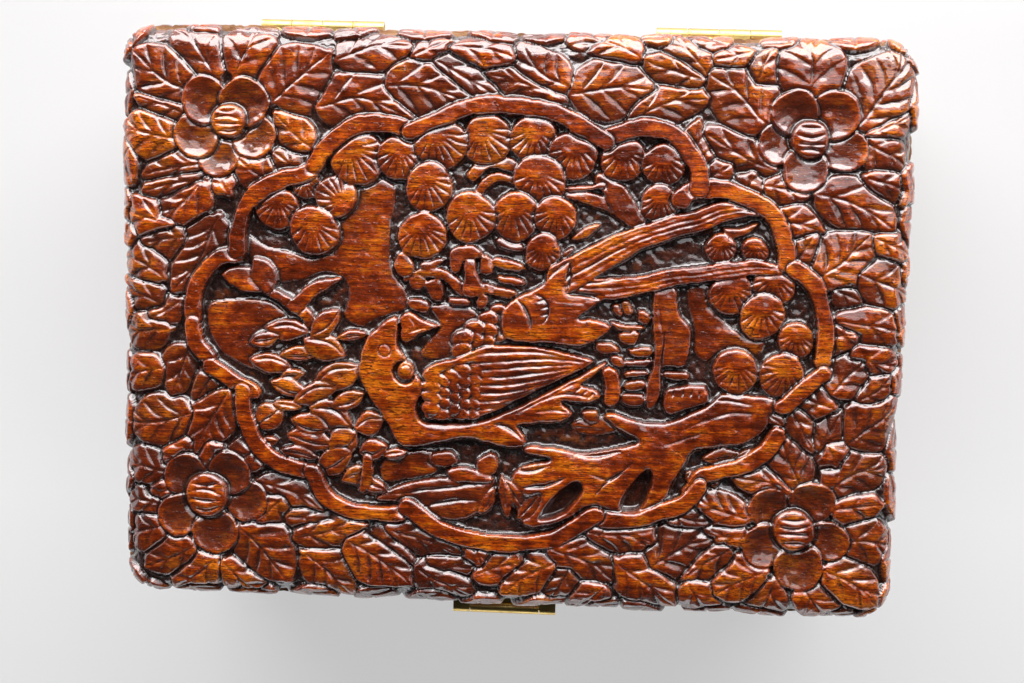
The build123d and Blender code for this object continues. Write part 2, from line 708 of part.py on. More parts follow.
def make_staple():
    """A plate on the front wall with an upright eye that stands through the strap's slot."""
    z = hasp_axis[1] - staple_drop
    half_width, half_height = staple_plate_width / 2, staple_plate_height / 2
    plate = block(
        (-half_width, half_width),
        (front_y - staple_plate_thickness, front_y),
        (z - half_height, z + half_height),
    )
    plate = fillet(plate.edges().filter_by(Axis.Y), staple_plate_corner)
    outer = eye_radius + eye_wall
    half_thickness = staple_thickness / 2
    tongue = block((-half_thickness, half_thickness), (front_y - eye_reach, front_y), (z - outer, z + outer))
    tongue += rod_x(-half_thickness, half_thickness, front_y - eye_reach, z, outer)
    staple = plate + tongue
    staple -= rod_x(-strap_width, strap_width, front_y - eye_reach, z, eye_radius)
    return staple - staple_nail_holes()


# ---- Assembly ------------------------------------------------------------------------------------
def make_parts():
    parts = {}
    parts.update(make_walls())
    parts.update(make_rails())
    parts["bottom_board"] = make_base()
    parts["lid_board"] = make_board()
    for name, x in hinge_centres.items():
        half = hinge_length / 2
        parts[f"{name}_hinge_body_leaf"] = make_leaf(x, below=True)
        parts[f"{name}_hinge_lid_leaf"] = make_leaf(x, below=False)
        parts[f"{name}_hinge_pin"] = make_pin(x - half, x + half, *hinge_axis)
    parts["body_hinge_screws"] = screw_group(
        hinge_screw_places(below=True), leaf_floor(below=True) + leaf_thickness, down=True
    )
    parts["lid_hinge_screws"] = screw_group(
        hinge_screw_places(below=False), leaf_floor(below=False) - leaf_thickness, down=False
    )
    parts["bottom_nails"] = Compound(children=[base_nail(x, y) for x, y in base_nail_places()])
    parts["hasp_leaf"] = make_hasp_leaf()
    parts["hasp_strap"] = make_strap()
    parts["hasp_pin"] = make_pin(-hasp_width / 2, hasp_width / 2, *hasp_axis)
    parts["hasp_screws"] = screw_group(hasp_screw_places(), joint_z, down=False)
    parts["staple"] = make_staple()
    parts["staple_nails"] = Compound(children=[staple_nail(x, z) for x, z in staple_nail_places()])
    return parts


os.makedirs("parts", exist_ok=True)
for node, shape in make_parts().items():
    export_step(shape, f"parts/{node}.step")
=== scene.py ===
"""Looks of a carved camphor-wood keepsake box with brass butt hinges and a brass hasp.

The lid's board and rails and the walls of the box are carved round the solids of the frame.
Brass fittings, nails and the bottom board keep their solids and get their finish here.
The carving is worked out in millimetres; every mesh is in metres.
"""
import math

import bpy
import bmesh
import numpy as np
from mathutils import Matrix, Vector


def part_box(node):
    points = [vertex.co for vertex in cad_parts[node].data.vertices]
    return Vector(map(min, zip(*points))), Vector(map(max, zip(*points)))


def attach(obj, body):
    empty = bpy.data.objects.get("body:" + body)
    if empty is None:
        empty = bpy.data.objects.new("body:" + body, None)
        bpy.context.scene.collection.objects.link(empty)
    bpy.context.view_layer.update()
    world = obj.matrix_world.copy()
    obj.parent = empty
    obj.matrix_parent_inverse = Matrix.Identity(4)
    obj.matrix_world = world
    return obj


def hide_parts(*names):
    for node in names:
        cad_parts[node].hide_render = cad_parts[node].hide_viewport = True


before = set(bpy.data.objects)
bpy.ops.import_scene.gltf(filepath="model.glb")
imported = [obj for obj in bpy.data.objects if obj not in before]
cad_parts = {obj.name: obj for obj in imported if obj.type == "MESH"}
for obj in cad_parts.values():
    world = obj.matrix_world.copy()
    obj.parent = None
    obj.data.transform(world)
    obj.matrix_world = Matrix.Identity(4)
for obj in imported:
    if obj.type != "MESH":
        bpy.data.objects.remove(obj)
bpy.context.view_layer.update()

MM = 0.001
CORNER_RADIUS = 12.0      # upright corners of the box, in plan
EDGE_RADIUS = 8.0         # round-over of the lid's upper edge
LID_PITCH = 0.36          # between the points of the lid's carved sheet
WALL_PITCH = 0.55         # between the points of a wall's carved sheet
LID_STRIPS = 5            # pieces that the lid's board is divided into, along X
FRONT_FACE_DEPTH = 4.0    # wood put back over the front wall's plain relief before it is carved
SHEET_BLOCK_DEPTH = 32.0  # from a wall's face to the back of the block that its sheet is cut from
SHEET_END_ANGLE = 52      # degrees of the upright corner that a wall's sheet runs round
SHEET_MARGIN = 1.0        # that a wall's sheet stands past the wall's foot and the rail's top
PARTING_DEPTH = 9.0       # from a sheet's upper edge to the line where the lid meets the body
LID_GROUND, WALL_GROUND = -2.6, -2.4        # levels of the wood that no form stands on
FIELD_GROUND, HIGHEST_FACE = -3.3, -0.06

# Leaves that fill the ground between them
LEAF_TOP = -0.25          # level of an even leaf's face
LEAF_SPREAD = 1.5         # what a leaf reaches past its drawn edge
LEAF_NOTCH = 1.15         # depth of the cut between two leaves
RIB_WIDTH, VEIN_WIDTH, VEIN_DEPTH = 1.7, 2.7, 0.55


# ---- Arithmetic of the carving ---------------------------------------------------------
def ease(x):
    """An S-shaped ramp from 0 at x = 0 to 1 at x = 1."""
    x = np.clip(x, 0.0, 1.0)
    return x * x * (3.0 - 2.0 * x)


def curve(points, closed=False, per_mm=0.8):
    """A smooth line through a few chosen points, as short straight steps."""
    p = np.array(points, float)
    if len(p) == 2 and not closed:
        return p
    if closed:
        before, starts, ends, beyond = np.roll(p, 1, 0), p, np.roll(p, -1, 0), np.roll(p, -2, 0)
    else:
        q = np.vstack([2 * p[0] - p[1], p, 2 * p[-1] - p[-2]])
        before, starts, ends, beyond = q[:-3], q[1:-2], q[2:-1], q[3:]
    out = []
    for a, b, c, d in zip(before, starts, ends, beyond):
        steps = max(2, int(np.hypot(*(c - b)) * per_mm))
        t = np.arange(steps)[:, None] / steps
        out.append(0.5 * (2 * b + (c - a) * t + (2 * a - 5 * b + 4 * c - d) * t ** 2
                          + (3 * b - a - 3 * c + d) * t ** 3))
    if not closed:
        out.append(ends[-1:])
    return np.vstack(out)


def on_line(line, share, aside):
    """The place a share of the way along a line and some mm to its left."""
    i = float(np.clip(share, 0, 1)) * (len(line) - 1)
    j = int(min(i, len(line) - 2))
    step = line[j + 1] - line[j]
    return line[j] + step * (i - j) + np.array([-step[1], step[0]]) / np.hypot(*step) * aside


def leaf_spine(base, tip, bend):
    """The midrib of a leaf, bowed to its left by some mm."""
    base, tip = np.array(base, float), np.array(tip, float)
    chord = tip - base
    normal = np.array([-chord[1], chord[0]]) / np.hypot(*chord)
    return curve([base, (base + tip) / 2 + normal * bend, tip], per_mm=0.5)


def leaf_fullness(t):
    """How wide a pointed leaf is a share t of the way along it, as a share of its full width."""
    return np.sin(np.pi * t ** 0.78) ** 0.7


def blurred(sheet, reach):
    """A sheet of heights averaged twice over a square of that many points each way."""
    for axis in (0, 1):
        for _ in range(2):
            ends = [(reach + 1, reach) if i == axis else (0, 0) for i in (0, 1)]
            total = np.cumsum(np.pad(sheet, ends, "edge"), axis=axis)
            far, near = [slice(None)] * 2, [slice(None)] * 2
            far[axis], near[axis] = slice(2 * reach + 1, None), slice(0, -(2 * reach + 1))
            sheet = (total[tuple(far)] - total[tuple(near)]) / (2 * reach + 1)
    return sheet


class Noise:
    """Smooth random heights from -1 to 1, the same on every run."""

    def __init__(self, seed, size=96):
        self.grid = np.random.default_rng(seed).uniform(-1, 1, (size, size))
        self.size = size

    def __call__(self, x, y):
        ix, iy = np.floor(x).astype(int), np.floor(y).astype(int)
        fx, fy = ease(x - ix), ease(y - iy)
        n, g = self.size, self.grid
        a, b = g[iy % n, ix % n], g[iy % n, (ix + 1) % n]
        c, d = g[(iy + 1) % n, ix % n], g[(iy + 1) % n, (ix + 1) % n]
        return (a + (b - a) * fx) * (1 - fy) + (c + (d - c) * fx) * fy


class Carving:
    """Carved wood over places (x, y) in mm: z is 0 at the uncut face and negative below it.

    rough is 1 on pitted ground and 0 on a smoothed face.
    """

    def __init__(self, x, y, ground):
        x, y = x.ravel(), y.ravel()
        sway, quiver = (Noise(11), Noise(12)), (Noise(13), Noise(14))
        self.x = x + 0.6 * sway[0](x / 8, y / 8) + 0.13 * quiver[0](x / 2.4, y / 2.4)
        self.y = y + 0.6 * sway[1](x / 8, y / 8) + 0.13 * quiver[1](x / 2.4, y / 2.4)
        self.uneven = Noise(15)
        self.z = np.full(x.shape, float(ground))
        self.rough = np.ones(x.shape)
        self.by_y = np.argsort(self.y, kind="stable")
        self.sorted_y = self.y[self.by_y]

    def near(self, points, margin, among=None):
        """The places, all or among some, that lie within a margin of the points' bounds."""
        p = np.asarray(points, float).reshape(-1, 2)
        lo, hi = p.min(0) - margin, p.max(0) + margin
        if among is None:
            i, j = np.searchsorted(self.sorted_y, (lo[1], hi[1]))
            among = self.by_y[i:j]
            return among[(self.x[among] > lo[0]) & (self.x[among] < hi[0])]
        x, y = self.x[among], self.y[among]
        return among[(x > lo[0]) & (x < hi[0]) & (y > lo[1]) & (y < hi[1])]

    def along(self, where, line):
        """For each place: how far along the line it lies (0 to 1) and its signed distance."""
        px, py = self.x[where], self.y[where]
        best = np.full(px.shape, 1e9)
        t_out, side = np.zeros(px.shape), np.zeros(px.shape)
        steps = np.diff(line, axis=0)
        lengths = np.hypot(steps[:, 0], steps[:, 1])
        total, run = lengths.sum(), 0.0
        for (ax, ay), (dx, dy), length in zip(line[:-1], steps, lengths):
            rx, ry = px - ax, py - ay
            t = np.clip((rx * dx + ry * dy) / length ** 2, 0, 1)
            ox, oy = rx - t * dx, ry - t * dy
            d = ox * ox + oy * oy
            hit = d < best
            best[hit] = d[hit]
            t_out[hit] = (run + t[hit] * length) / total
            side[hit] = np.sign(dx * ry[hit] - dy * rx[hit])
            run += length
        return t_out, side * np.sqrt(best)

    def inside(self, where, outline):
        """Signed distance into a closed outline, positive inside."""
        px, py = self.x[where], self.y[where]
        best = np.full(px.shape, 1e9)
        odd = np.zeros(px.shape, bool)
        for (ax, ay), (bx, by) in zip(outline, np.roll(outline, -1, 0)):
            dx, dy = bx - ax, by - ay
            rx, ry = px - ax, py - ay
            t = np.clip((rx * dx + ry * dy) / (dx * dx + dy * dy + 1e-12), 0, 1)
            best = np.minimum(best, (rx - t * dx) ** 2 + (ry - t * dy) ** 2)
            if ay != by:
                odd ^= ((ay > py) != (by > py)) & (px < ax + (py - ay) * dx / dy)
        return np.where(odd, 1, -1) * np.sqrt(best)

    def lay(self, where, depth_in, top, edge=0.7, drop=0.45, wall=2.4, moat=0.7, moat_width=0.8):
        """Leaves a form standing: its face, a rounded edge, a steep side and a cut round its foot.

        depth_in is the distance of each place into the form, negative outside it.
        """
        z = self.z[where]
        moat = moat * (0.7 + 0.5 * self.uneven(self.x[where] / 4, self.y[where] / 4))
        inner = np.clip(depth_in / edge, 0, 1)
        form = top - drop * (1 - np.sqrt(1 - (1 - inner) ** 2))
        cut = z - moat * np.exp(-(depth_in / moat_width) ** 2)
        side = form + wall * depth_in
        self.z[where] = np.where(depth_in < 0, np.maximum(np.minimum(side, z), cut), form)
        self.rough[where[depth_in > -0.2]] = 0.0

    def gouge(self, points, width, depth, lean=0.0, taper=0.8, among=None):
        """A V cut along a line, widest in its middle.

        lean makes its left side gentler and its right side steeper.
        """
        line = curve(points)
        where = self.near(line, width, among)
        if not len(where):
            return
        t, s = self.along(where, line)
        half = width / 2 * np.sin(np.pi * np.clip(t, 0.02, 0.98)) ** taper
        share = np.clip(1 - np.abs(s) / (half * (1 + lean * np.sign(s))), 0, 1)
        self.z[where] -= depth * (0.6 * share + 0.4 * ease(share)) * np.sqrt(half / (width / 2))

    def gouges(self, *cuts):
        """Several cuts: the points, width and depth of each, and its lean if it has one."""
        for cut in cuts:
            self.gouge(*cut)

    def leaves(self, leaves, seed):
        """Pointed leaves that fill the ground between them, parted by V cuts where they meet.

        Each is (base, tip, width, bend of the midrib, veins left of it, veins right of it,
        standing), and of two leaves the one that stands higher wins more of the ground.
        """
        rng = np.random.default_rng(seed)
        best = np.full(self.x.shape, -9.0)
        rival = best.copy()
        face = self.z.copy()
        owner = np.full(self.x.shape, -1)
        spines = []
        for i, (base, tip, width, bend, _, _, standing) in enumerate(leaves):
            spine = leaf_spine(base, tip, bend)
            lift, tilt, twist = (rng.uniform(*r) for r in ((-0.8, 0.1), (-1.2, 0.6), (-1.2, 1.2)))
            where = self.near(spine, width * 0.5 + LEAF_SPREAD + 1)
            spines.append((spine, where))
            if not len(where):
                continue
            t, s = self.along(where, spine)
            half = width / 2 * leaf_fullness(np.clip(t, 1e-4, 1)) + LEAF_SPREAD
            depth_in = half - np.abs(s) + standing
            rise = (LEAF_TOP + lift + tilt * (t - 0.4) + twist * s / width
                    - 0.7 * np.clip(np.abs(s) / half, 0, 1) ** 2)
            held = best[where]
            win = depth_in > held
            rival[where] = np.where(win, held, np.maximum(rival[where], depth_in))
            best[where] = np.where(win, depth_in, held)
            face[where] = np.where(win, rise, face[where])
            owner[where] = np.where(win, i, owner[where])
        part = np.minimum(best + 0.4, (best - rival) / 2)
        cut = np.clip(1 - part / 0.95, 0, 1)
        leafy = best > -0.4
        self.z = np.where(leafy, face - LEAF_NOTCH * (0.5 * cut + 0.5 * cut ** 2), self.z)
        self.rough = np.where(leafy & (part > 0.1), 0.0, self.rough)
        for i, ((spine, where), (_, _, width, _, left, right, _)) in enumerate(zip(spines, leaves)):
            mine = where[owner[where] == i]
            if len(mine) < 12:
                continue
            midrib = [on_line(spine, f, 0) for f in (0.02, 0.5, 0.97)]
            self.gouge(midrib, RIB_WIDTH, VEIN_DEPTH, taper=0.35, among=mine)
            for side, count in ((1, left), (-1, right)):
                for k in range(count):
                    start = 0.06 + 0.66 * (k + 0.5) / count
                    end = min(start + 0.27, 0.97)
                    out = side * (width / 2 * leaf_fullness(end) + 0.4 * LEAF_SPREAD)
                    vein = [on_line(spine, start, side * 0.4),
                            on_line(spine, (start + end) / 2, out * 0.42),
                            on_line(spine, end, out * 0.98)]
                    self.gouge(vein, VEIN_WIDTH * rng.uniform(0.8, 1.2),
                               VEIN_DEPTH * rng.uniform(0.7, 1.2), taper=0.5, among=mine,
                               lean=0.55 * side)

    def leaf(self, base, tip, width, bend=0.0, top=-0.8, rib=1.2, bow=0.0):
        """One leaf standing on the ground, with a cut along its middle or bowed to one edge."""
        spine = leaf_spine(base, tip, bend)
        where = self.near(spine, width * 0.7 + 2)
        t, s = self.along(where, spine)
        half = width / 2 * np.sin(np.pi * np.clip(t, 1e-4, 1)) ** 0.75 + 1e-3
        crown = 0.25 * (1 - np.clip(np.abs(s) / half, 0, 1) ** 2)
        lean = self.uneven(base[0] / 5, base[1] / 5) * 0.8
        face = top - 0.3 + crown + lean * (t - 0.5) - lean * s / width
        self.lay(where, (half - np.abs(s)) * 0.85, face, edge=0.8, drop=0.5)
        if rib:
            line = [on_line(spine, f, bow * width * b) for f,
                    b in ((0.05, 0.2), (0.5, 1), (0.94, 0.1))]
            self.gouge(line, rib, 0.7, taper=0.35, lean=0.4 if lean > 0 else -0.4)

    def tuft(self, x, y, radius, turn):
        """A round tuft of pine needles: a domed disc with a fan of thin cuts."""
        where = self.near([(x, y)], radius + 3)
        dx, dy = self.x[where] - x, self.y[where] - y
        r = np.hypot(dx, dy)
        way = np.radians(turn)
        fall = (dx * np.cos(way) + dy * np.sin(way)) / radius
        face = -0.5 - 0.35 * (r / radius) ** 2 - 0.3 * fall
        self.lay(where, radius - r, face, edge=0.8, drop=0.5, moat=1.1)
        hub = np.array([x, y]) - 0.4 * radius * np.array([np.cos(way), np.sin(way)])
        for angle in np.radians(turn + np.linspace(-65, 65, 8)):
            step = np.array([np.cos(angle), np.sin(angle)])
            ends = [hub + step * 0.45 * radius, hub + step * 1.3 * radius]
            self.gouge(ends, 0.95, 0.55, taper=0.4)

    def scale(self, x, y, radius, turn, top):
        """A small rounded feather, raised at its free end."""
        where = self.near([(x, y)], radius + 2)
        c, s = np.cos(np.radians(turn)), np.sin(np.radians(turn))
        dx, dy = self.x[where] - x, self.y[where] - y
        along, aside = dx * c + dy * s, dy * c - dx * s
        face = top + 0.5 * along / radius - 0.35 * (aside / radius) ** 2
        self.lay(where, radius - np.hypot(along * 0.8, aside), face, edge=0.6, drop=0.4, moat=0.5,
                 moat_width=0.6)
        self.gouge([(x, y), (x + radius * c, y + radius * s)], 0.7, 0.35)

    def petal(self, x, y, radius, centre):
        """A dished petal that dips towards the middle of its flower."""
        where = self.near([(x, y)], radius + 3)
        r = np.hypot(self.x[where] - x, self.y[where] - y) / radius
        inward = np.hypot(self.x[where] - centre[0], self.y[where] - centre[1])
        outer = np.hypot(x - centre[0], y - centre[1]) + radius
        face = -0.4 - 1.5 * np.clip(1 - r ** 2, 0, 1) ** 0.8 - 1.1 * ease(1 - inward / outer)
        self.lay(where, (1 - r) * radius, face, drop=0.5, moat=1.4)

    def boss(self, x, y, radius, seed):
        """The round middle of a flower, with four wavy cuts across it."""
        where = self.near([(x, y)], radius + 3)
        r = np.hypot(self.x[where] - x, self.y[where] - y)
        self.lay(where, radius - r, -0.1 - 0.8 * (r / radius) ** 2, edge=1.0, drop=0.8, moat=1.8,
                 moat_width=1.1)
        rng = np.random.default_rng(seed)
        for i in range(4):
            level = y + radius * (-0.6 + 1.2 * i / 3) + rng.uniform(-0.4, 0.4)
            half = np.sqrt(max(radius ** 2 - (level - y) ** 2, 1)) * 0.85
            wave = rng.uniform(-0.9, 0.9)
            self.gouge([(x - half, level), (x, level + wave), (x + half, level - wave)], 1.6, 0.9)

    def flower(self, middle, radius, petals, seed):
        """A flower: its petals, each (x, y, radius), and its middle over them."""
        for x, y, reach in petals:
            self.petal(x, y, reach, middle)
        self.boss(*middle, radius, seed)

    def band(self, points, width, top=0.0, grooves=(), edge=0.6, drop=0.4, taper=(1,), moat=0.9):
        """A strip along a line, with cuts running along it.

        taper gives its width at even steps as shares of the full one; each groove is (place from
        -1 at its right edge to 1 at its left one, depth).
        """
        line = curve(points)
        where = self.near(line, width / 2 + 3)
        t, s = self.along(where, line)
        half = width / 2 * np.interp(t, np.linspace(0, 1, len(taper)), taper)
        face = np.full(t.shape, top)
        for place, depth in grooves:
            face -= depth * ease(1 - np.abs(s / half - place) / 0.16)
        self.lay(where, half - np.abs(s), face, edge=edge, drop=drop, moat=moat)

    def mass(self, points, top=-0.5, crown=0.0, edge=0.8, drop=0.45, moat=0.8, slope=0.0, wall=2.6):
        """A free form with a smooth outline; slope lifts its face by so much over 20 mm in Y."""
        outline = curve(points, closed=True, per_mm=0.6)
        where = self.near(outline, 3)
        depth_in = self.inside(where, outline)
        rise = slope * (self.y[where] - outline.mean(0)[1]) / 20
        self.lay(where, depth_in, top + crown * ease(depth_in / 6) + rise, edge=edge, drop=drop,
                 moat=moat, wall=wall)

    def hollow(self, points, depth, soft=1.5):
        """A sunk place with a smooth outline."""
        outline = curve(points, closed=True, per_mm=0.6)
        where = self.near(outline, 1)
        share = ease(self.inside(where, outline) / soft)
        self.z[where] = np.minimum(self.z[where], self.z[where] * (1 - share) + depth * share)

    def ground(self, points, level):
        """Lowers everything inside an outline to a level, rough ground."""
        outline = curve(points, closed=True, per_mm=0.4)
        where = self.near(outline, 2)
        depth_in = self.inside(where, outline)
        sunk = ease(depth_in / 2.0 + 0.5)
        self.z[where] = self.z[where] * (1 - sunk) + level * sunk
        self.rough[where[depth_in > 0]] = 1.0

    def finish(self, shape, pitch):
        """Tool marks and pits; returns the heights and three marks for the stain and the painted
        shade.

        They say how hollow each place is next to its near neighbours, how far it is sunk below a
        wider ring of them or lies half deep, and how rough it is. Hollow and sunk places get
        painted shade; rough ground holds stain.
        """
        z, rough = self.z.reshape(shape), self.rough.reshape(shape)
        x, y = self.x.reshape(shape), self.y.reshape(shape)
        pits = rough * ease((-z - 1.0) / 1.2)
        z = z + 0.22 * pits * Noise(3)(x / 2.4, y / 1.8) + 0.12 * pits * Noise(5)(x / 0.9, y / 0.8)
        z = (z + 0.19 * Noise(4)(x / 3.2, y / 2.4) + 0.08 * Noise(6)(x / 1.3, y / 1.0)
             + 0.3 * Noise(7)(x / 15, y / 13))
        z = np.minimum(0.6 * z + 0.4 * blurred(z, 1), HIGHEST_FACE)
        near, far, wide = (blurred(z, max(least, round(reach / pitch))) - z
                           for reach, least in ((0.9, 1), (2.2, 1), (4.0, 2)))
        # painted shade: places that lie half deep, such as the lower leaves of the border, are
        # darkened
        half_deep_painted_shade = 0.9 * ease((-z - 0.35) / 0.9) * (1 - ease((-z - 1.9) / 0.4))
        return z, {
            "hollow": np.clip((0.6 * near + 0.4 * far) / 0.8, -1, 1),
            "sunk": np.clip((wide + half_deep_painted_shade) / 2.0, -1, 1),
            "rough": np.clip(blurred(rough, 1) * ease((-z - 0.8) / 1.2), 0, 1),
        }


# ---- Drawing of the lid, in mm from its middle -----------------------------------------
# Leaves of the border: base, tip, width, bend of the midrib, cuts to the left and right of it
BORDER_LEAVES = [
    # along the back edge, from left to right
    ((-90, 72), (-101, 89), 13, 1, 2, 2), ((-84, 73), (-78, 90), 15, -1, 2, 3),
    ((-54, 78), (-31, 83), 14, 2, 3, 2), ((-19, 83), (1, 80), 10, 1, 1, 2),
    ((-31, 80), (-20, 85), 7, 0, 1, 1), ((37, 81), (18, 87), 10, -1, 1, 2),
    ((57, 76), (45, 89), 11, 1, 2, 2), ((17, 71), (1, 86), 13, 3, 2, 3),
    ((56, 75), (38, 81), 10, 1, 2, 1), ((-24, 79), (-5, 68), 8, 0, 2, 2),
    ((15, 68), (-9, 75), 9, -1, 3, 2), ((-60, 64), (-31, 62), 15, 4, 3, 3),
    ((-40, 71), (-12, 66), 15, 2, 3, 3), ((-73, 65), (-56, 80), 20, 1, 4, 3),
    ((16, 69), (42, 72), 16, 1, 3, 3), ((34, 62), (58, 70), 12, 2, 2, 3),
    # round the back right corner
    ((78, 49), (56, 60), 10, 1, 2, 2), ((76, 62), (57, 77), 17, -1, 3, 3),
    ((88, 70), (85, 89), 19, 0, 3, 3), ((70, 84), (58, 80), 8, 0, 1, 1),
    ((101, 62), (115, 87), 21, -2, 4, 4), ((104, 60), (118, 66), 10, 0, 2, 2),
    ((103, 58), (117, 51), 12, 0, 2, 2), ((104, 47), (118, 44), 8, 0, 1, 1),
    # down the right side
    ((90, 42), (115, 32), 13, 2, 2, 3), ((91, 17), (107, 31), 17, -1, 3, 4),
    ((104, 19), (121, 12), 14, 0, 2, 2), ((108, 30), (120, 24), 8, 0, 1, 2),
    ((98, 5), (120, 1), 10, 0, 1, 1), ((97, 14), (105, 11), 6, 0, 0, 1),
    ((98, -18), (110, -5), 12, 1, 2, 2), ((102, -6), (120, -9), 8, 0, 2, 1),
    ((99, -22), (87, -19), 8, 0, 1, 1), ((103, -33), (119, -19), 15, 0, 3, 3),
    ((95, -36), (101, -24), 9, 0, 2, 1), ((86, -24), (94, -36), 7, 0, 2, 1),
    ((97, -48), (118, -39), 13, 2, 3, 3), ((91, -47), (83, -31), 12, 1, 2, 3),
    ((88, -49), (70, -44), 8, -1, 2, 1),
    # round the front right corner
    ((100, -53), (115, -51), 9, 0, 1, 1), ((103, -62), (120, -64), 12, 0, 2, 2),
    ((98, -72), (116, -84), 13, 2, 3, 2), ((92, -77), (104, -89), 10, 0, 2, 2),
    ((84, -76), (78, -89), 11, 0, 2, 2), ((81, -73), (65, -82), 14, -1, 3, 3),
    ((70, -66), (55, -76), 11, 0, 2, 2), ((75, -62), (55, -63), 7, 0, 2, 1),
    ((75, -57), (57, -50), 10, 1, 2, 3),
    # along the front edge, from right to left
    ((57, -77), (66, -89), 11, 0, 2, 2), ((45, -74), (66, -62), 15, 1, 3, 2),
    ((35, -72), (53, -86), 14, 1, 2, 3), ((25, -63), (50, -66), 10, 1, 2, 3),
    ((32, -79), (20, -90), 9, 0, 1, 2), ((14, -68), (35, -78), 11, 1, 3, 2),
    ((16, -73), (0, -84), 12, -1, 2, 3), ((-9, -78), (10, -73), 9, 1, 1, 2),
    ((-27, -76), (-8, -87), 12, 0, 2, 2), ((-25, -76), (-7, -76), 7, 0, 2, 1),
    ((-37, -64), (-12, -72), 10, 1, 2, 3), ((-44, -66), (-28, -75), 8, 1, 1, 2),
    ((-49, -68), (-28, -82), 16, 1, 3, 4), ((-62, -73), (-47, -87), 13, 1, 2, 3),
    ((-65, -69), (-43, -64), 10, 1, 2, 2), ((-77, -51), (-56, -59), 8, 1, 2, 2),
    ((-82, -66), (-67, -83), 17, 1, 3, 3), ((-68, -62), (-52, -62), 6, 0, 1, 1),
    ((-88, -77), (-74, -88), 11, 0, 2, 1), ((-90, -76), (-103, -87), 12, 0, 2, 2),
    # up the left side
    ((-96, -72), (-112, -80), 12, 0, 2, 2), ((-106, -66), (-120, -71), 11, 0, 2, 2),
    ((-106, -59), (-120, -57), 10, 0, 2, 2), ((-105, -49), (-120, -46), 12, 0, 2, 2),
    ((-97, -30), (-119, -34), 14, 1, 3, 3), ((-86, -23), (-97, -44), 14, -1, 4, 2),
    ((-98, -9), (-104, -24), 11, 0, 3, 2), ((-106, -16), (-120, -20), 10, 0, 2, 2),
    ((-104, -4), (-120, -6), 11, 0, 2, 2), ((-101, 5), (-112, -3), 8, 0, 1, 1),
    ((-106, 12), (-121, 22), 12, 0, 2, 2), ((-105, 3), (-121, 10), 9, 0, 1, 2),
    ((-90, 31), (-103, 8), 15, 2, 3, 4), ((-103, 28), (-121, 33), 10, 0, 1, 2),
    ((-92, 42), (-111, 28), 11, 1, 3, 3), ((-92, 41), (-112, 38), 9, -1, 2, 1),
    ((-94, 47), (-112, 43), 9, 0, 1, 2), ((-86, 38), (-90, 45), 6, 0, 1, 1),
    ((-101, 53), (-120, 57), 13, 0, 3, 3), ((-100, 61), (-115, 66), 8, 0, 2, 1),
    ((-97, 67), (-116, 80), 18, 1, 3, 3),
]

# Lobes of the frame round the scene, each a few points along its middle
FRAME_WIDTH = 5.0
FRAME_LOBES = [
    [(-84, 19), (-89.5, 17), (-95, 11.5), (-97.2, 5), (-97.2, -1)],
    [(-97.3, -3), (-96, -8), (-92.5, -12.5)],
    [(-91, -15.5), (-85, -19.5), (-78, -23)],
    [(-57, 52), (-59, 48), (-63, 44.5), (-69, 42.8), (-75, 40), (-80.5, 34), (-83, 27),
     (-83.5, 20.5)],
    [(-31, 58), (-37, 59.6), (-45, 59.4), (-52, 56.5), (-57, 52), (-60, 47.5)],
    [(50.5, 39), (52.5, 42), (60, 42.5), (68, 41), (75, 38), (79.8, 33), (81.8, 27), (82.5, 21.5)],
    [(27, 57), (33, 59.6), (40, 60.4), (46, 59), (51, 55), (54.5, 49.5), (55.3, 43)],
    [(-31, 57.5), (-22, 62), (-12, 65.3), (0, 66), (12, 64), (20, 60.5), (27, 56)],
    [(85, 20), (90.5, 16), (94.3, 8), (95.3, 0), (94.5, -8)],
    [(95, -11.5), (89.5, -16.5), (84, -22)],
    [(56, -49.5), (60, -44.5), (66, -42.2), (73, -40.2), (78.5, -36), (82, -31)],
    [(27, -58), (34, -58.8), (42, -58.2), (50, -55.6), (55.5, -52), (59.5, -47.5)],
    [(-81.5, -23), (-80.7, -31), (-77.6, -38), (-72, -43.5), (-66, -46.5), (-59, -48)],
    [(-60, -47.5), (-55, -55), (-47, -58.6), (-40, -59.4), (-33, -59), (-29, -57)],
    [(-30, -56.5), (-22, -62.5), (-14, -66), (-5, -67.7), (5, -67.5), (14, -65.5), (21, -62),
     (28, -57.5)],
]

# Flowers: middle, its radius and its petals as (x, y, radius)
FLOWERS = [
    ((-86.5, 59.5), 5.3, [(-89.5, 49, 6.4), (-78.8, 55, 6.6), (-96.3, 55, 6.6), (-93.5, 65.5, 7.0),
                          (-81.8, 65.3, 7.6)]),
    ((87.8, 58.7), 5.5, [(97.8, 55.3, 6.7), (79, 57, 6.2), (95, 65.8, 7.0), (83, 66, 7.0),
                         (86.8, 49.3, 6.8)]),
    ((-92.8, -55.5), 6.8, [(-80.3, -57.5, 6.6), (-85.8, -48.7, 6.6), (-99.5, -49.5, 6.5),
                           (-101.3, -62.3, 6.6), (-90, -67.3, 7.0)]),
    ((88.8, -60), 6.3, [(81, -53.8, 6.2), (94, -51.5, 6.6), (99, -63, 6.3), (80.2, -65.3, 6.8),
                        (90.7, -71.5, 7.2)]),
]

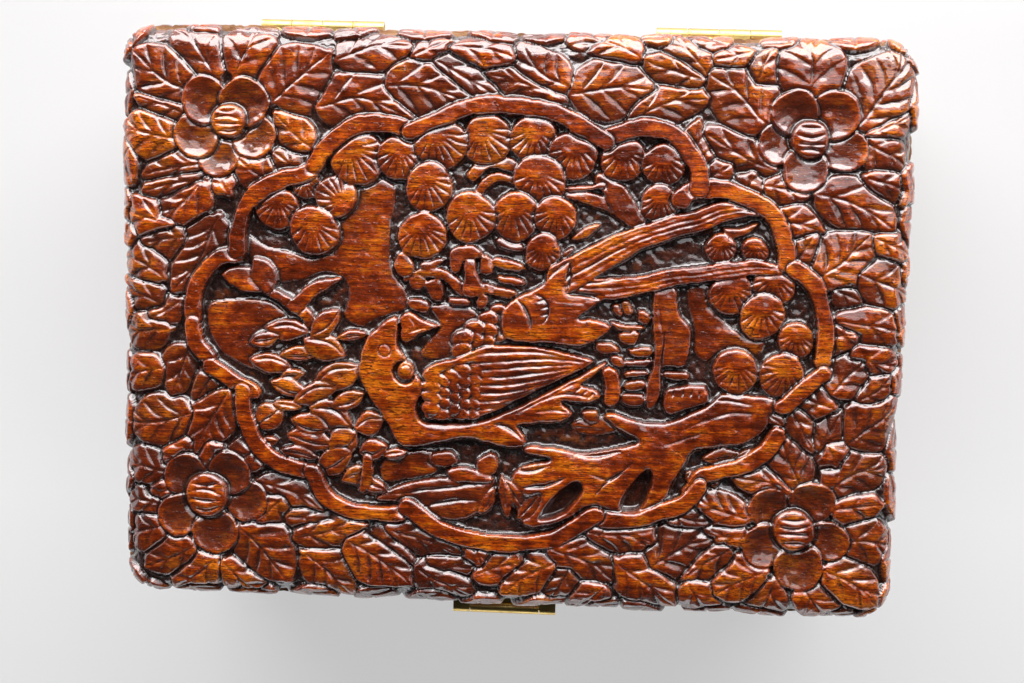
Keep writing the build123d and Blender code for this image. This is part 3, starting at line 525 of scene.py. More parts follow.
# Pine tufts: x, y, radius, direction of the fan
PINE_TUFTS = [
    (-62.5, 41, 4.2, -90), (-53.5, 37.8, 6.0, 150), (-71, 33.5, 6.2, -90), (-60, 27, 7.0, -80),
    (-47, 49.5, 7.6, -50), (-34.5, 50, 6.2, -90), (-8, 55.8, 7.2, -60), (6, 56.3, 6.9, -95),
    (-22, 54, 7.4, -60), (33, 51.2, 6.4, -85), (45, 49.5, 6.0, -80), (18, 51.7, 6.9, -100),
    (-25.5, 41, 6.8, -60), (8, 43.8, 7.3, -90), (1, 33, 6.7, -90), (13, 33, 6.0, -100),
    (-12.5, 32.5, 7.2, -75), (-27, 26.6, 6.8, -80), (9.5, 22.8, 5.2, -90), (66.5, 11.5, 6.0, -80),
    (79, 14.5, 6.2, -95), (76, 5, 6.3, -80), (86.5, -2, 5.2, -95), (69, -11.5, 6.3, -95),
    (82.5, -12.5, 6.2, -120), (44, 38, 5.4, -100), (63, 25, 4.4, -90), (73, 24.6, 3.8, -90),
]

# Outline of the sunk field inside the frame
FIELD = [
    (-84, 20), (-83, 30), (-76, 40), (-64, 44), (-57, 53), (-45, 59), (-31, 58), (-20, 63), (0, 66),
    (20, 61), (28, 57), (40, 60), (51, 55), (55, 43), (68, 41), (79, 34), (82, 24), (90, 16),
    (95, 4), (94, -9), (86, -20), (83, -29), (77, -38), (62, -44), (56, -52), (42, -58), (28, -58),
    (14, -65), (-5, -67), (-22, -62), (-30, -57), (-45, -59), (-55, -55), (-61, -48), (-72, -43),
    (-80, -32), (-82, -23), (-92, -14), (-97, -3), (-95, 11),
]


def carve_scene(r):
    """Sky and water, twigs and rocks, the trunk, the pine branches and the long-tailed bird."""
    carve_sky(r)
    carve_bushes(r)
    carve_trunk(r)
    carve_far_bank(r)
    carve_branches(r)
    for x, y, radius, turn in PINE_TUFTS:
        r.tuft(x, y, radius * 1.08, turn)
    carve_bird(r)


def carve_sky(r):
    """The smooth sky and water, lowest of all."""
    for points, top, edge, drop, wall in (
        ([(-82, 25), (-76, 22), (-68, 20.5), (-60, 18.5), (-55, 21.5), (-53.5, 28), (-52, 33),
          (-48, 37), (-46.5, 41.5), (-41, 44), (-36.5, 42), (-36, 35), (-37, 30), (-37.2, 24),
          (-37, 19), (-35.5, 14), (-33, 11), (-31, 8), (-30.5, 4), (-34, 2.5), (-40, 1.5),
          (-46, -2), (-51, 1), (-49, 6), (-50, 12), (-56, 14.5), (-64, 12.5), (-72, 11.5),
          (-79, 16)], -2.35, 3.5, 0.5, 0.35),
        ([(-93, 3), (-84, 5.5), (-74, 5), (-68, 0), (-74, -3), (-76, -8), (-76, -16), (-85, -13),
          (-91, -8)], -2.4, 3, 0.5, 0.35),
        ([(54, 14), (60, 14), (63, 6), (70, 0), (77, -2), (75, -7), (66, -5), (60, -9), (56, -6),
          (55.5, 2)], -2.4, 3, 0.6, 0.35),
        ([(-36, -41), (-22, -40), (-21, -46), (-30, -48.5), (-38, -49)], -2.2, 2.5, 0.6, 0.5),
        ([(-24, 5), (-12, 5), (-9, -1), (-14, -8), (-22, -11), (-27, -9),
          (-21, -1)], -2.3, 3, 0.6, 0.4),
        ([(20, -30), (28, -27), (40, -28), (36, -31), (26, -33)], -2.2, 2.5, 0.5, 0.4),
    ):
        r.mass(points, top, edge=edge, drop=drop, wall=wall, moat=0)


def carve_bushes(r):
    """The twig and the small leaves at the left, and the rocks at the foot."""
    r.band([(-76, 9), (-70, 6.5), (-64, 3), (-61, -1)], 3.4, top=-0.9, taper=(0.8, 1, 1.4, 1.2))
    r.band([(-66, 4), (-61, 8.5), (-57, 10.5), (-52, 12.3)], 4.2, top=-0.9,
           taper=(1, 1.1, 0.9, 0.3))
    r.leaf((-75, 8.5), (-88, 12.5), 8, bend=-1.5, top=-0.7, rib=0)
    r.leaf((-74.5, 7.5), (-79, 18.5), 8, bend=-1.5, top=-0.6, rib=0)
    for base, tip, width, bow in (
        ((-61, -4), (-75, -2.5), 7, -0.2), ((-66, -15), (-79, -13), 7, -0.25),
        ((-58, -10.5), (-70, -11), 5, 0.2), ((-62, -17), (-70, -18), 4, 0),
        ((-50, -11), (-63, -6), 9, -0.25), ((-52, 3), (-61, -5), 7, 0.2),
        ((-45, -14), (-60, -21), 9, -0.25), ((-43, -4), (-53, -5.5), 3.5, 0),
        ((-61, -22.5), (-73, -19.5), 5.5, 0.2), ((-69, -27), (-78, -34), 9, 0),
        ((-52, -21), (-66, -25), 7, -0.3), ((-47, -33), (-61, -27), 10, -0.25),
        ((-54, -38), (-68, -36), 9, 0.15), ((-58, -43), (-70, -41), 4.5, 0),
        ((-55, -33), (-67, -31), 7, 0.25), ((-46, -34), (-55, -41), 9.5, 0.2),
        ((-48, -41), (-59, -47), 9.5, 0.1), ((-37, -30), (-47, -33), 8.5, -0.2),
        ((-36, -38), (-46, -41), 7, 0.2), ((-30, -39.5), (-38, -41), 3.5, 0),
        ((-41, -46), (-51, -50), 6, 0), ((-36, -52), (-46, -49), 5, 0),
        ((-70, -5), (-79, -8), 5, 0), ((-44, -22), (-54, -27), 6, 0.2),
        ((-63, -27), (-72, -26), 4, 0), ((-70, -38), (-77, -39), 4, 0),
    ):
        r.leaf(base, tip, width, top=-0.8, bow=bow)
    r.band([(-42.5, -43), (-42.5, -48), (-44, -52)], 3.6, top=-1.0, taper=(1, 1, 0.7))
    r.mass([(-40, -55), (-36, -52), (-28, -49), (-18, -47), (-6, -46), (-3, -48), (-5, -53),
            (-8, -58), (-14, -61), (-24, -60), (-30, -56)], top=-1.2, edge=2.0, drop=0.9, slope=0.3)
    r.gouges(
        ([(-36, -53), (-26, -52), (-14, -50), (-6, -49)], 1.8, 0.8, 0.4),
        ([(-26, -58), (-16, -55), (-8, -54)], 1.8, 0.8, 0.4),
    )
    r.mass([(-18, -45), (-12, -44), (-4, -46), (-5, -48.5), (-15, -48)], top=-0.8, edge=1, drop=0.5)
    r.mass([(-9, -42), (-5, -39.5), (-2, -41), (-3, -46), (-8, -45)], top=-1.2, edge=1.2)
    r.mass([(-22, -40.5), (-17, -40), (-15, -43), (-19, -44.5), (-23, -43)], top=-1.3)


def carve_trunk(r):
    """The trunk with its two hollows, and the plants round its foot."""
    r.mass([(3, -45), (8, -42.5), (14, -41), (6, -39), (7, -36.5), (14, -37), (24, -38),
            (34, -36.5), (40, -34.5), (34, -31), (30, -27), (33, -26), (41, -28), (50, -27.5),
            (57, -24.5), (62, -21), (67, -18), (75, -18.5), (82, -19.5), (80.5, -27), (74, -33),
            (64, -35.5), (57, -37), (55, -41), (51.5, -46), (49, -53), (42, -56), (33, -57),
            (26, -56), (18, -60), (8, -62), (4, -58), (2, -50)], top=-0.6, crown=0.3, edge=1.4,
            drop=0.8)
    r.hollow([(10, -60), (13, -54), (18, -48.5), (22, -46.8), (24, -50), (21.5, -55), (17, -59)],
             -3.6)
    r.hollow([(34.5, -55), (36, -50), (41, -44), (44.5, -42.5), (45.5, -46), (44.5, -51), (42, -55),
              (37, -56)], -3.6)
    r.hollow([(3.5, -31), (9, -29.3), (18, -30), (30, -31), (31, -35), (22, -36.5), (13, -35.5),
              (7, -33.5)], -2.8, soft=1.0)
    for points, width, depth in (
        ([(21, -38.5), (28, -39), (36, -37.3)], 1.8, 1.2),
        ([(62, -20.5), (68, -20.5), (75, -21.5)], 1.2, 0.7),
        ([(5, -50), (12, -49), (19, -45.5)], 1.8, 1.2),
        ([(2, -44), (8, -44.8), (14, -42.5)], 1.8, 1.0),
        ([(24, -44), (32, -46), (40, -40)], 1.4, 0.5),
        ([(27, -52), (31, -47), (37, -43)], 1.5, 0.6),
        ([(52, -31), (60, -27), (68, -24), (78, -24)], 1.6, 0.5),
        ([(46, -36), (54, -33), (62, -30)], 1.3, 0.45),
    ):
        r.gouge(points, width, depth, lean=0.3)
    for base, tip, width in (
        ((0, -47), (7, -58), 5), ((-1, -46), (1, -60), 4), ((4, -60), (11, -52), 5),
        ((-8, -59), (-3, -50), 4), ((60, -39), (72, -36.5), 5), ((58, -43), (56, -47), 5),
        ((65, -48), (62, -41), 6), ((84, -28), (80, -25), 5), ((57, -50), (62, -42), 7),
        ((70, -40), (77, -35), 4),
    ):
        r.leaf(base, tip, width, top=-0.9, rib=1.0)


def carve_far_bank(r):
    """The post and the blocks to the right of the bird."""
    r.mass([(43.5, 12.5), (50, 12.5), (51.5, 5), (54.5, 0), (53.5, -10.5), (47, -10.8), (46.6, -20),
            (43.5, -24), (42, -20), (44, -8)], top=-0.9)
    r.gouges(
        ([(46.3, 1), (46.8, -5), (46.6, -11), (46.5, -20)], 1.3, 1.0),
        ([(45.3, 11), (45.5, 3), (46.2, -4)], 0.9, 0.5),
    )
    r.mass([(48, -18), (53, -16.5), (60, -16.5), (60.8, -21), (54, -24.2), (49, -24.8)], top=-1.0)
    for x in (50.5, 53, 55.5, 58):
        r.gouge([(x, -17.5), (x, -20)], 1.0, 0.8)
    for points in (
        [(47.5, -12), (54, -12.5), (54, -14.8), (47.5, -14.3)],
        [(35, -9.5), (43, -8.5), (42, -11), (35, -11)],
        [(33, 8.5), (35.5, 9), (37.5, 5), (35, 4.3)],
        [(30.5, 7.5), (32.5, 8), (34, 4.5), (32, 4.3)],
        [(29.5, 2.4), (35, 1.2), (41, 0.8), (40, -0.6), (33, -0.6)],
        [(33, -1.5), (40, -1.2), (38, -4.5), (34, -4)],
        [(36, -13), (42, -12.5), (42.3, -14.3), (36, -15)],
        [(36, -16.4), (42, -15.9), (41.6, -18.4), (36, -18.8)],
        [(35, -20), (41.5, -19.6), (41, -22.6), (35.5, -23)],
        [(26, -4.5), (31, -4.2), (33.5, -6.8), (28, -7.5)],
        [(36, -5.8), (43, -5), (43, -7.5), (38, -8)],
        [(23, -25.6), (28, -25.4), (27.5, -29), (24.5, -28.5)],
        [(39, 6), (42.5, 5), (42.5, 1.5), (39.5, 2.2)],
        [(31, -8), (34.5, -8.4), (35, -11.5), (31.5, -11)],
    ):
        r.mass(points, top=-1.5, edge=0.8, drop=0.5, moat=0.5)
    r.mass([(28.3, -12), (32.8, -12.5), (34.6, -20), (33, -24), (29.8, -23), (29.6, -18)], top=-0.6)


def carve_branches(r):
    """Branches and small foliage behind the pine tufts."""
    r.band([(15, 41), (22, 39.5), (30, 36.5), (36, 31.5)], 4.0, top=-1.2, taper=(0.8, 1, 0.9, 0.5))
    r.band([(27, 45), (31, 40.5), (34, 36), (38, 32.5)], 6.5, top=-1.0, taper=(0.7, 1, 1.1, 0.8))
    r.band([(17, 42), (22, 42.3), (27, 43)], 1.6, top=-0.9)
    r.band([(-12, 45), (-7, 49), (0, 48), (2, 44)], 4.5, top=-1.2, taper=(0.8, 1, 1, 0.6))
    r.band([(-11, 39), (-8, 43), (-3, 44.6), (2, 42), (4, 38)], 2.6, top=-1.3)
    r.band([(-32, 13), (-26, 15.5), (-20, 15), (-14, 10.5), (-8, 11), (0, 9.5)], 3.4, top=-0.9,
           taper=(0.6, 1, 1, 1.2, 1, 0.7))
    r.band([(-12.5, 22), (-12.5, 17), (-11.5, 11)], 4.6, top=-0.8, taper=(0.7, 0.8, 1.3))
    for points, top in (
        ([(-19, 22), (-16, 24.5), (-11, 24), (-8, 21), (-10, 20), (-14, 20.5), (-15.5, 16),
          (-18, 16)], -1.0),
        ([(-9, 21), (-5.5, 20), (-6, 15.5), (-9.5, 15.5)], -1.2),
        ([(-36, 17), (-33, 22), (-30.5, 20), (-29.5, 16), (-33, 13.3)], -0.8),
        ([(-28, 18), (-24, 20), (-20, 19.5), (-23, 17), (-27, 16.7)], -1.0),
    ):
        r.mass(points, top)
    for points in (
        [(-31, 13), (-28, 15), (-25, 13), (-27, 9.5), (-30, 10)],
        [(-26, 12), (-22, 14), (-20, 11), (-21, 6.5), (-24, 7)],
        [(-18.5, 8), (-13, 8), (-12.5, 5.5), (-18, 5.8)],
        [(-30.5, 6.5), (-25, 6.5), (-25, 3.2), (-30, 3.6)], [(-5, 21), (4, 19), (3, 17), (-5, 18)],
        [(-4, 15.5), (4, 14.5), (4, 12.5), (-3, 13)], [(-5, 12), (2, 11), (2, 9.3), (-5, 9.8)],
        [(-10, 9), (-7, 8.5), (-8, 4.5), (-10.5, 5)], [(-4, 27), (3, 25.5), (3, 23), (-4, 24)],
        [(-21, 34), (-18, 36), (-16, 39), (-20, 38)], [(18, 27), (23, 31), (27, 31.5), (23, 27.5)],
        [(14, 21), (17, 24.5), (19, 24), (16, 20.5)],
    ):
        r.mass(points, top=-1.2, edge=0.8, drop=0.5, moat=0.5)


def carve_bird(r):
    """The long-tailed bird: tail plumes, back, breast and head, and the wing over them."""
    r.band([(14, 12.5), (24, 12.2), (34, 13), (44, 15), (54, 17), (64, 18.3), (74, 19.6),
            (86, 19.5)], 6.2, top=-0.35,
           grooves=((-0.45, 0.28), (0.1, 0.35), (0.6, 0.2)),
           taper=(1.0, 1.1, 1.0, 0.85, 0.8, 0.75, 0.7, 0.3))
    r.band([(16, 15), (24, 20), (34, 25), (44, 29.5), (54, 33), (62, 35.7), (70, 37), (77, 35.2)],
           8.2, top=-0.3, grooves=((-0.55, 0.25), (-0.15, 0.5), (0.3, 0.35), (0.68, 0.2)),
           taper=(1.2, 1.1, 1.0, 0.85, 0.8, 0.85, 0.7, 0.15))
    r.gouge([(20, 14), (28, 14.6), (38, 17), (50, 19.4)], 1.2, 0.7, lean=0.4)
    r.mass([(63.5, 31.5), (68, 31), (74, 33), (71.5, 29.8), (67, 28), (64.5, 29)], top=-1.0)
    # back, with its collar
    for x, y in (
        (-3.4, 4.2), (-3.2, 0.6), (-3.4, -3.2), (-6.6, 1.4), (-6.8, -2.2), (-7.2, -5.8),
        (-10.4, -1.6), (-10.8, -5.2), (-13.8, -4.4), (-14, -7.8),
    ):
        r.scale(x, y, 2.5, 10, -0.75)
    r.mass([(-1, 6), (3, 9.5), (8, 12), (14, 16.5), (18, 20), (17, 15), (16.5, 10.5), (22, 10.3),
            (28, 9.6), (24, 6), (20.5, 2.8), (26, 2.6), (30.5, 0.5), (27, -3), (22, -5.5), (12, -5),
            (2, -5), (-2, -3), (-2.5, 2)],
           top=-0.35, crown=0.3, edge=1.0, drop=0.5)
    r.gouges(
        ([(17.8, 20), (18.4, 15), (17, 10.4)], 1.5, 1.2, -0.4),
        ([(17, 10), (23, 10.2), (28.5, 9)], 1.4, 1.0, 0.4),
        ([(20.5, 2.6), (25, 3), (29.5, 1.4)], 1.2, 0.7, 0.4),
        ([(2.2, 8.8), (5.2, 6.3), (6.6, 2.4), (6.6, -1.6)], 2.2, 1.3, -0.5),
        ([(7.6, 10.8), (11.2, 8.6), (12, 4.6), (10.8, 1.8), (8.2, 1.6)], 1.5, 1.0, -0.4),
    )
    for x, y in ((8.6, 8.2), (9.6, 6.2), (9.6, 4)):
        r.gouge([(x, y), (x + 2.6, y + 0.3)], 1.0, 0.8)
    for x0, y0, x1, y1 in (
        (13, 8, 24, 8.3), (13, 5.6, 22, 6), (13.5, 3.2, 19, 3.6), (12, -1.4, 27, -0.6),
        (14, -3.2, 24, -3),
    ):
        r.gouge([(x0, y0), ((x0 + x1) / 2, (y0 + y1) / 2 - 0.4), (x1, y1)], 0.9, 0.3)
    # head, neck, breast and flank
    r.mass([(-36.5, 1.2), (-33.5, 1.3), (-33.6, -3), (-34.4, -6.5), (-32.8, -9), (-30.8, -12),
            (-27.5, -16), (-25.5, -18), (-25, -20.5), (-27.5, -24.5), (-27, -28.5), (-25, -30.8),
            (-18, -31), (-9, -30), (-1, -27), (8, -22.4), (16, -17.6), (23, -13.2), (30, -10),
            (26, -14), (22, -17), (26, -18), (28.6, -21), (24, -23), (16.5, -22.8), (20.2, -26.5),
            (17, -28.6), (9, -29.2), (3.4, -30.6), (6, -33.5), (5.6, -37), (1, -37.6), (-6, -36.4),
            (-12, -35.4), (-20, -37), (-28, -38.4), (-33, -37), (-36, -32), (-39, -27.5),
            (-43, -22.5), (-46, -17), (-45.4, -10), (-43, -4.5), (-40, -1.4)], top=-0.4, crown=0.3,
            edge=1.1, drop=0.6)
    r.mass([(-33.2, 1.2), (-30, 3), (-27, 1.4), (-24, 0.4), (-21, -0.7), (-24.5, -2.4), (-28, -3.8),
            (-31, -6.2), (-33.4, -5), (-32.6, -2)], top=-0.6)
    r.gouges(
        ([(-31.6, -3.6), (-28, -2.2), (-24, -1.2)], 1.1, 0.6, 0.4),
        ([(-30.5, 1.8), (-28.6, -0.2), (-28.4, -2)], 1.0, 0.4),
    )
    r.gouge([(-28.2, -24), (-27.6, -27.5), (-24.5, -31.4), (-18, -32), (-10, -31), (-4, -29)], 2.0,
            0.5, taper=0.6, lean=0.3)
    r.gouges(
        ([(-4, -30.4), (1, -31.6), (5.6, -35)], 2.0, 1.0, 0.4),
        ([(-2, -28.8), (6, -25), (14, -20.4), (24, -14.4)], 1.2, 0.5),
        ([(8, -26.2), (14, -25.4), (19.4, -26)], 1.3, 0.7, 0.3),
        ([(11, -22.4), (18, -20.2), (27, -21.2)], 1.3, 0.8, 0.3),
    )
    for x, y in ((22.5, -17.2), (24.6, -18), (26.4, -19.2)):
        r.gouge([(x, y), (x - 2.4, y - 2.6)], 1.1, 0.7)
    # curl below the head, and the eye
    r.hollow([(-36.2, -15), (-34.6, -11.6), (-31.4, -11), (-28.4, -12.2), (-27.6, -15.4),
              (-29.4, -18.6), (-33.4, -19)],
             -2.0, soft=1.2)
    where = r.near([(-31.6, -14.8)], 4.4)
    ball = np.hypot((r.x[where] + 31.6) * 1.15, r.y[where] + 14.8)
    r.lay(where, 3.1 - ball, -0.5 - 0.05 * ball ** 2, edge=0.8, drop=0.4, moat=0.5)
    r.gouge([(-33, -13.4), (-31, -12.8), (-29.6, -14.6), (-30.6, -16.6)], 1.0, 0.6, taper=0.4)
    for a in range(0, 360, 30):
        c, s = np.cos(np.radians(a)), np.sin(np.radians(a))
        c2, s2 = np.cos(np.radians(a + 32)), np.sin(np.radians(a + 32))
        r.gouge([(-38 + 1.9 * c, -8.6 + 1.9 * s), (-38 + 1.9 * c2, -8.6 + 1.9 * s2)], 0.9, 0.5,
                taper=0.3)
    for x, y in (
        (-43, -12), (-41, -17), (-37, -21), (-33, -24), (-38, -27), (-33, -30), (-29, -34),
        (-21, -34.6),
    ):
        r.gouge([(x - 2.5, y + 0.8), (x, y), (x + 2.8, y + 0.4)], 0.9, 0.22)
    # wing: long feathers that run together at its point, and scales over their roots
    r.mass([(-26, -14.5), (-21, -11.5), (-14, -9.3), (-6, -6.6), (4, -6), (12, -6.6), (20, -8),
            (26, -9.8), (20, -13.5), (14, -17), (6, -21.5), (-2, -25.7), (-10, -28.9), (-18, -30),
            (-25, -29.4), (-24, -24), (-24.5, -19)],
           top=-0.1, edge=0.9, drop=0.6, crown=0.25)
    for points in (
        [(-15, -10.4), (-4, -8.6), (8, -8), (19, -8.9)],
        [(-14, -12.8), (0, -10.9), (12, -9.9), (23, -9.9)],
        [(-13, -14.9), (0, -13.1), (11, -12), (21, -10.8)],
        [(-12, -16.9), (-1, -15.7), (10, -14.1), (20, -11.8)],
        [(-12, -19), (0, -18), (10, -16.2), (19, -13)],
        [(-11, -21), (0, -20.3), (8, -18.4), (17, -14.8)],
        [(-10, -23.4), (-1, -22.6), (7, -20.2), (15, -16.2)],
        [(-10, -26), (-3, -25), (4, -22.4), (12, -18)],
    ):
        r.gouge(points, 1.6, 0.75, taper=0.45, lean=0.4)
        middle = [(x, y + 0.95) for x, y in points]
        r.gouge(middle, 0.7, 0.25, taper=0.5)
    for column, x in enumerate((-11.2, -14.4, -17.6, -20.8, -23.4)):
        for row in range(5):
            y = -12.2 - row * 3.5 - (column % 2) * 1.7 - (1.6 if column == 0 else 0)
            if -29 < y < min(-9.5, -10 + (x + 11) * 0.42):
                r.scale(x, y, 2.3, -12, -0.3 + 0.06 * column)
    r.gouge([(-24.5, -30.6), (-14, -30.9), (-4, -27.6), (6, -22.8), (15, -17.6), (26, -11)], 1.5,
            0.8, taper=0.3, lean=-0.3)


def over_edge(x, y, half_x, half_y):
    """Takes a place on the board, seen from above, to its place on the unrolled sheet."""
    out = []
    for place, half in ((x, half_x), (y, half_y)):
        past = abs(place) - (half + CORNER_RADIUS - EDGE_RADIUS)
        if past > 0:
            bent = EDGE_RADIUS * math.asin(min(past / EDGE_RADIUS, 1))
            place = math.copysign(abs(place) - past + bent, place)
        out.append(place)
    return tuple(out)


def edge_leaves(half_x, half_y, seed):
    """Leaves that wrap the board's round-over and run down its sides, on the unrolled sheet."""
    rng = np.random.default_rng(seed)
    corners = [(half_x, half_y, 0), (-half_x, half_y, 90), (-half_x, -half_y, 180),
               (half_x, -half_y, 270)]
    leaves = []

    def add(x, y, way, inner, outer):
        lean = rng.uniform(-50, 50)
        a, b = math.radians(way), math.radians(way + lean)
        base = (x + inner * math.cos(a), y + inner * math.sin(a))
        length = (outer - inner) / math.cos(math.radians(lean * 0.8))
        tip = (base[0] + length * math.cos(b), base[1] + length * math.sin(b))
        leaves.append((base, tip, rng.uniform(17, 23), rng.uniform(-1, 1), 2, 1, -3.0))

    for (ax, ay, turn), (bx, by, _) in zip(corners, corners[1:] + corners[:1]):
        for lean in (22, 68):
            add(ax, ay, turn + lean, 9, 22)
        length = math.hypot(bx - ax, by - ay)
        count = round(length / 18)
        for i in range(count):
            share = (i + 0.5) / count
            add(ax + (bx - ax) * share, ay + (by - ay) * share, turn + 90, 8, 22)
    return leaves


def gap_leaves(leaves, half_x, half_y, seed):
    """Small leaves for the widest gaps that the others leave between the frame and the edge."""
    rng = np.random.default_rng(seed)
    steps = (np.arange(-half - 4, half + 5, 2.0) for half in (half_x, half_y))
    x, y = (table.ravel() for table in np.meshgrid(*steps))
    zone = Carving(x, y, 0)
    every = np.arange(len(x))
    free = zone.inside(every, curve(FIELD, closed=True, per_mm=0.4)) < -FRAME_WIDTH / 2 - 1.5
    for _, _, petals in FLOWERS:
        for px, py, reach in petals:
            free &= np.hypot(zone.x - px, zone.y - py) > reach + 1.0

    def distance(base, tip, width):
        t, s = zone.along(every, np.array([base, tip], float))
        return np.abs(s) - width / 2 * leaf_fullness(np.clip(t, 0.05, 0.98))
    bare = np.full(len(x), 99.0)
    for base, tip, width, *_ in leaves:
        bare = np.minimum(bare, distance(base, tip, width))
    added = []
    for _ in range(40):
        at = int(np.argmax(np.where(free, bare, -99)))
        if bare[at] < 2.2:
            break
        way = math.atan2(y[at] * 1.5, x[at]) + rng.uniform(-0.9, 0.9)
        step = 7.5 * np.array([math.cos(way), math.sin(way)])
        spot = np.array([x[at], y[at]])
        base, tip, width = spot - step, spot + step, 10
        added.append((base, tip, width, rng.uniform(-1, 1), 2, 2, -0.6))
        bare = np.minimum(bare, distance(base, tip, width))
    return added


def carve_lid(r, half_x, half_y):
    """The whole drawing of the lid, from the border inwards."""
    border = edge_leaves(half_x, half_y, 21)
    border += [(over_edge(*base, half_x, half_y), over_edge(*tip, half_x, half_y), *rest, 0.0)
               for base, tip, *rest in BORDER_LEAVES]
    border += gap_leaves(border, half_x, half_y, 23)
    r.leaves(border, seed=22)
    r.ground(FIELD, FIELD_GROUND)
    carve_scene(r)
    for lobe in FRAME_LOBES:
        r.band(lobe, FRAME_WIDTH, edge=0.7, drop=0.45, moat=1.8)
    for middle, radius, petals in FLOWERS:
        r.flower(middle, radius, petals, seed=int(abs(middle[0])))


def carve_side(r, length, low, high, seed, flowers, rest=None):
    """Leaves and flowers over one side of the box, length mm long and from low to high mm.

    rest is a place left flat for a fitting: half its width, its foot and its top.
    """
    rng = np.random.default_rng(seed)
    leaves = []
    rows, columns = round((high - low) / 13), round(length / 12) + 1
    for row in range(rows + 1):
        for column in range(columns + 1):
            place = column + 0.5 * (row % 2) - 0.25
            x = -length / 2 + length * place / columns + rng.uniform(-2, 2)
            z = low + (high - low) * row / rows + rng.uniform(-2, 2)
            way = rng.uniform(0, 2 * math.pi)
            for middle, _ in flowers:
                dx, dz = x - middle[0], z - middle[1]
                if math.hypot(dx, dz) < 30:
                    way = math.atan2(dz, dx) + rng.uniform(-0.5, 0.5)
            reach = rng.uniform(8, 11)
            dx, dz = reach * math.cos(way), reach * math.sin(way)
            leaves.append(((x - dx, z - dz), (x + dx, z + dz), rng.uniform(11, 15),
                           rng.uniform(-1.5, 1.5), 3, 3, rng.uniform(-0.8, 0.8)))
    r.leaves(leaves, seed + 1)
    for (x, z), radius in flowers:
        ways = np.radians(rng.uniform(0, 72) + 72 * np.arange(5))
        petals = [(x + radius * 1.75 * math.cos(way), z + radius * 1.75 * math.sin(way),
                   radius * 1.15) for way in ways]
        r.flower((x, z), radius, petals, seed=4)
    if rest:
        half, foot, top = rest
        where = r.near([(-half, foot), (half, top)], 0.6)
        x, z = r.x[where], r.y[where]
        inset = np.minimum(half + 0.6 - np.abs(x), np.minimum(z - foot, top - z) + 0.6)
        share = ease(inset / 0.6)
        r.z[where] = r.z[where] * (1 - share) + HIGHEST_FACE * share
        r.rough[where] *= 1 - share


# ---- Pieces ----------------------------------------------------------------------------
class Socket:
    """The output of a node, which takes part in ordinary arithmetic."""

    def __init__(self, tree, socket):
        self.tree, self.socket = tree, socket

    def maths(self, operation, *terms):
        return self.tree.add("ShaderNodeMath", {"operation": operation},
                             dict(enumerate((self, *terms))))

    def __add__(self, other):
        return self.maths("ADD", other)

    def __sub__(self, other):
        return self.maths("SUBTRACT", other)

    def __rsub__(self, other):
        return self.tree.add("ShaderNodeMath", {"operation": "SUBTRACT"}, {0: other, 1: self})

    def __mul__(self, other):
        return self.maths("MULTIPLY", other)

    def __truediv__(self, other):
        return self.maths("DIVIDE", other)

    def __rtruediv__(self, other):
        return self.tree.add("ShaderNodeMath", {"operation": "DIVIDE"}, {0: other, 1: self})

    def __pow__(self, other):
        return self.maths("POWER", other)

    __radd__ = __add__
    __rmul__ = __mul__

    def least(self, other):
        return self.maths("MINIMUM", other)

    def most(self, other):
        return self.maths("MAXIMUM", other)

    def held(self):
        """Kept between 0 and 1."""
        return self.most(0.0).least(1.0)

    def between(self, low, high):
        """0 at low or less and 1 at high or more, with an even slope."""
        return ((self - low) / (high - low)).held()


class Tree:
    """The nodes of one material or of one geometry."""

    def __init__(self, tree):
        self.tree = tree

    def add(self, kind, settings=None, sockets=None, out=0):
        """A node of a type: its settings are made first, then its sockets' values or links."""
        node = self.tree.nodes.new(kind)
        for name, value in (settings or {}).items():
            if name == "stops":
                elements = node.color_ramp.elements
                while len(elements) < len(value):
                    elements.new(0.5)
                for element, (place, colour) in zip(elements, value):
                    element.position, element.color = place, (*colour, 1.0)
            else:
                setattr(node, name, value)
        for name, value in (sockets or {}).items():
            socket = node.inputs[name]
            if isinstance(value, Socket):
                self.tree.links.new(value.socket, socket)
            elif socket.type == "RGBA" and len(value) == 3:
                socket.default_value = (*value, 1.0)
            else:
                socket.default_value = value
        return Socket(self, node.outputs[out]) if len(node.outputs) else None

    def vector(self, x, y, z):
        return self.add("ShaderNodeCombineXYZ", {}, {"X": x, "Y": y, "Z": z})

    def parts(self, vector):
        node = self.add("ShaderNodeSeparateXYZ", {}, {"Vector": vector}).socket.node
        return [Socket(self, node.outputs[i]) for i in range(3)]

    def mix(self, share, a, b):
        """Two colours mixed."""
        return self.add("ShaderNodeMix", {"data_type": "RGBA"}, {0: share, 6: a, 7: b}, out=2)


def scene_object(name, data):
    """An object in the scene, of a mesh, lamp or camera."""
    made = bpy.data.objects.new(name, data)
    bpy.context.scene.collection.objects.link(made)
    return made


def values_of(items, attribute, kind=np.float32, width=1):
    """One attribute of all the vertices, loops or faces of a mesh."""
    out = np.zeros(len(items) * width, kind)
    items.foreach_get(attribute, out)
    return out


def mesh_from(name, points, faces):
    """A mesh of points (n x 3) and faces, each one face's corners or a table of many."""
    mesh = bpy.data.meshes.new(name)
    sizes = np.concatenate([np.full(len(f), f.shape[1]) if isinstance(f, np.ndarray) else [len(f)]
                            for f in faces])
    corners = np.concatenate([np.ravel(f) for f in faces]).astype(np.int32)
    mesh.vertices.add(len(points))
    mesh.vertices.foreach_set("co", np.asarray(points, np.float32).ravel())
    mesh.loops.add(len(corners))
    mesh.loops.foreach_set("vertex_index", corners)
    mesh.polygons.add(len(sizes))
    starts = np.concatenate([[0], np.cumsum(sizes)[:-1]]).astype(np.int32)
    mesh.polygons.foreach_set("loop_start", starts)
    mesh.update(calc_edges=True)
    return mesh


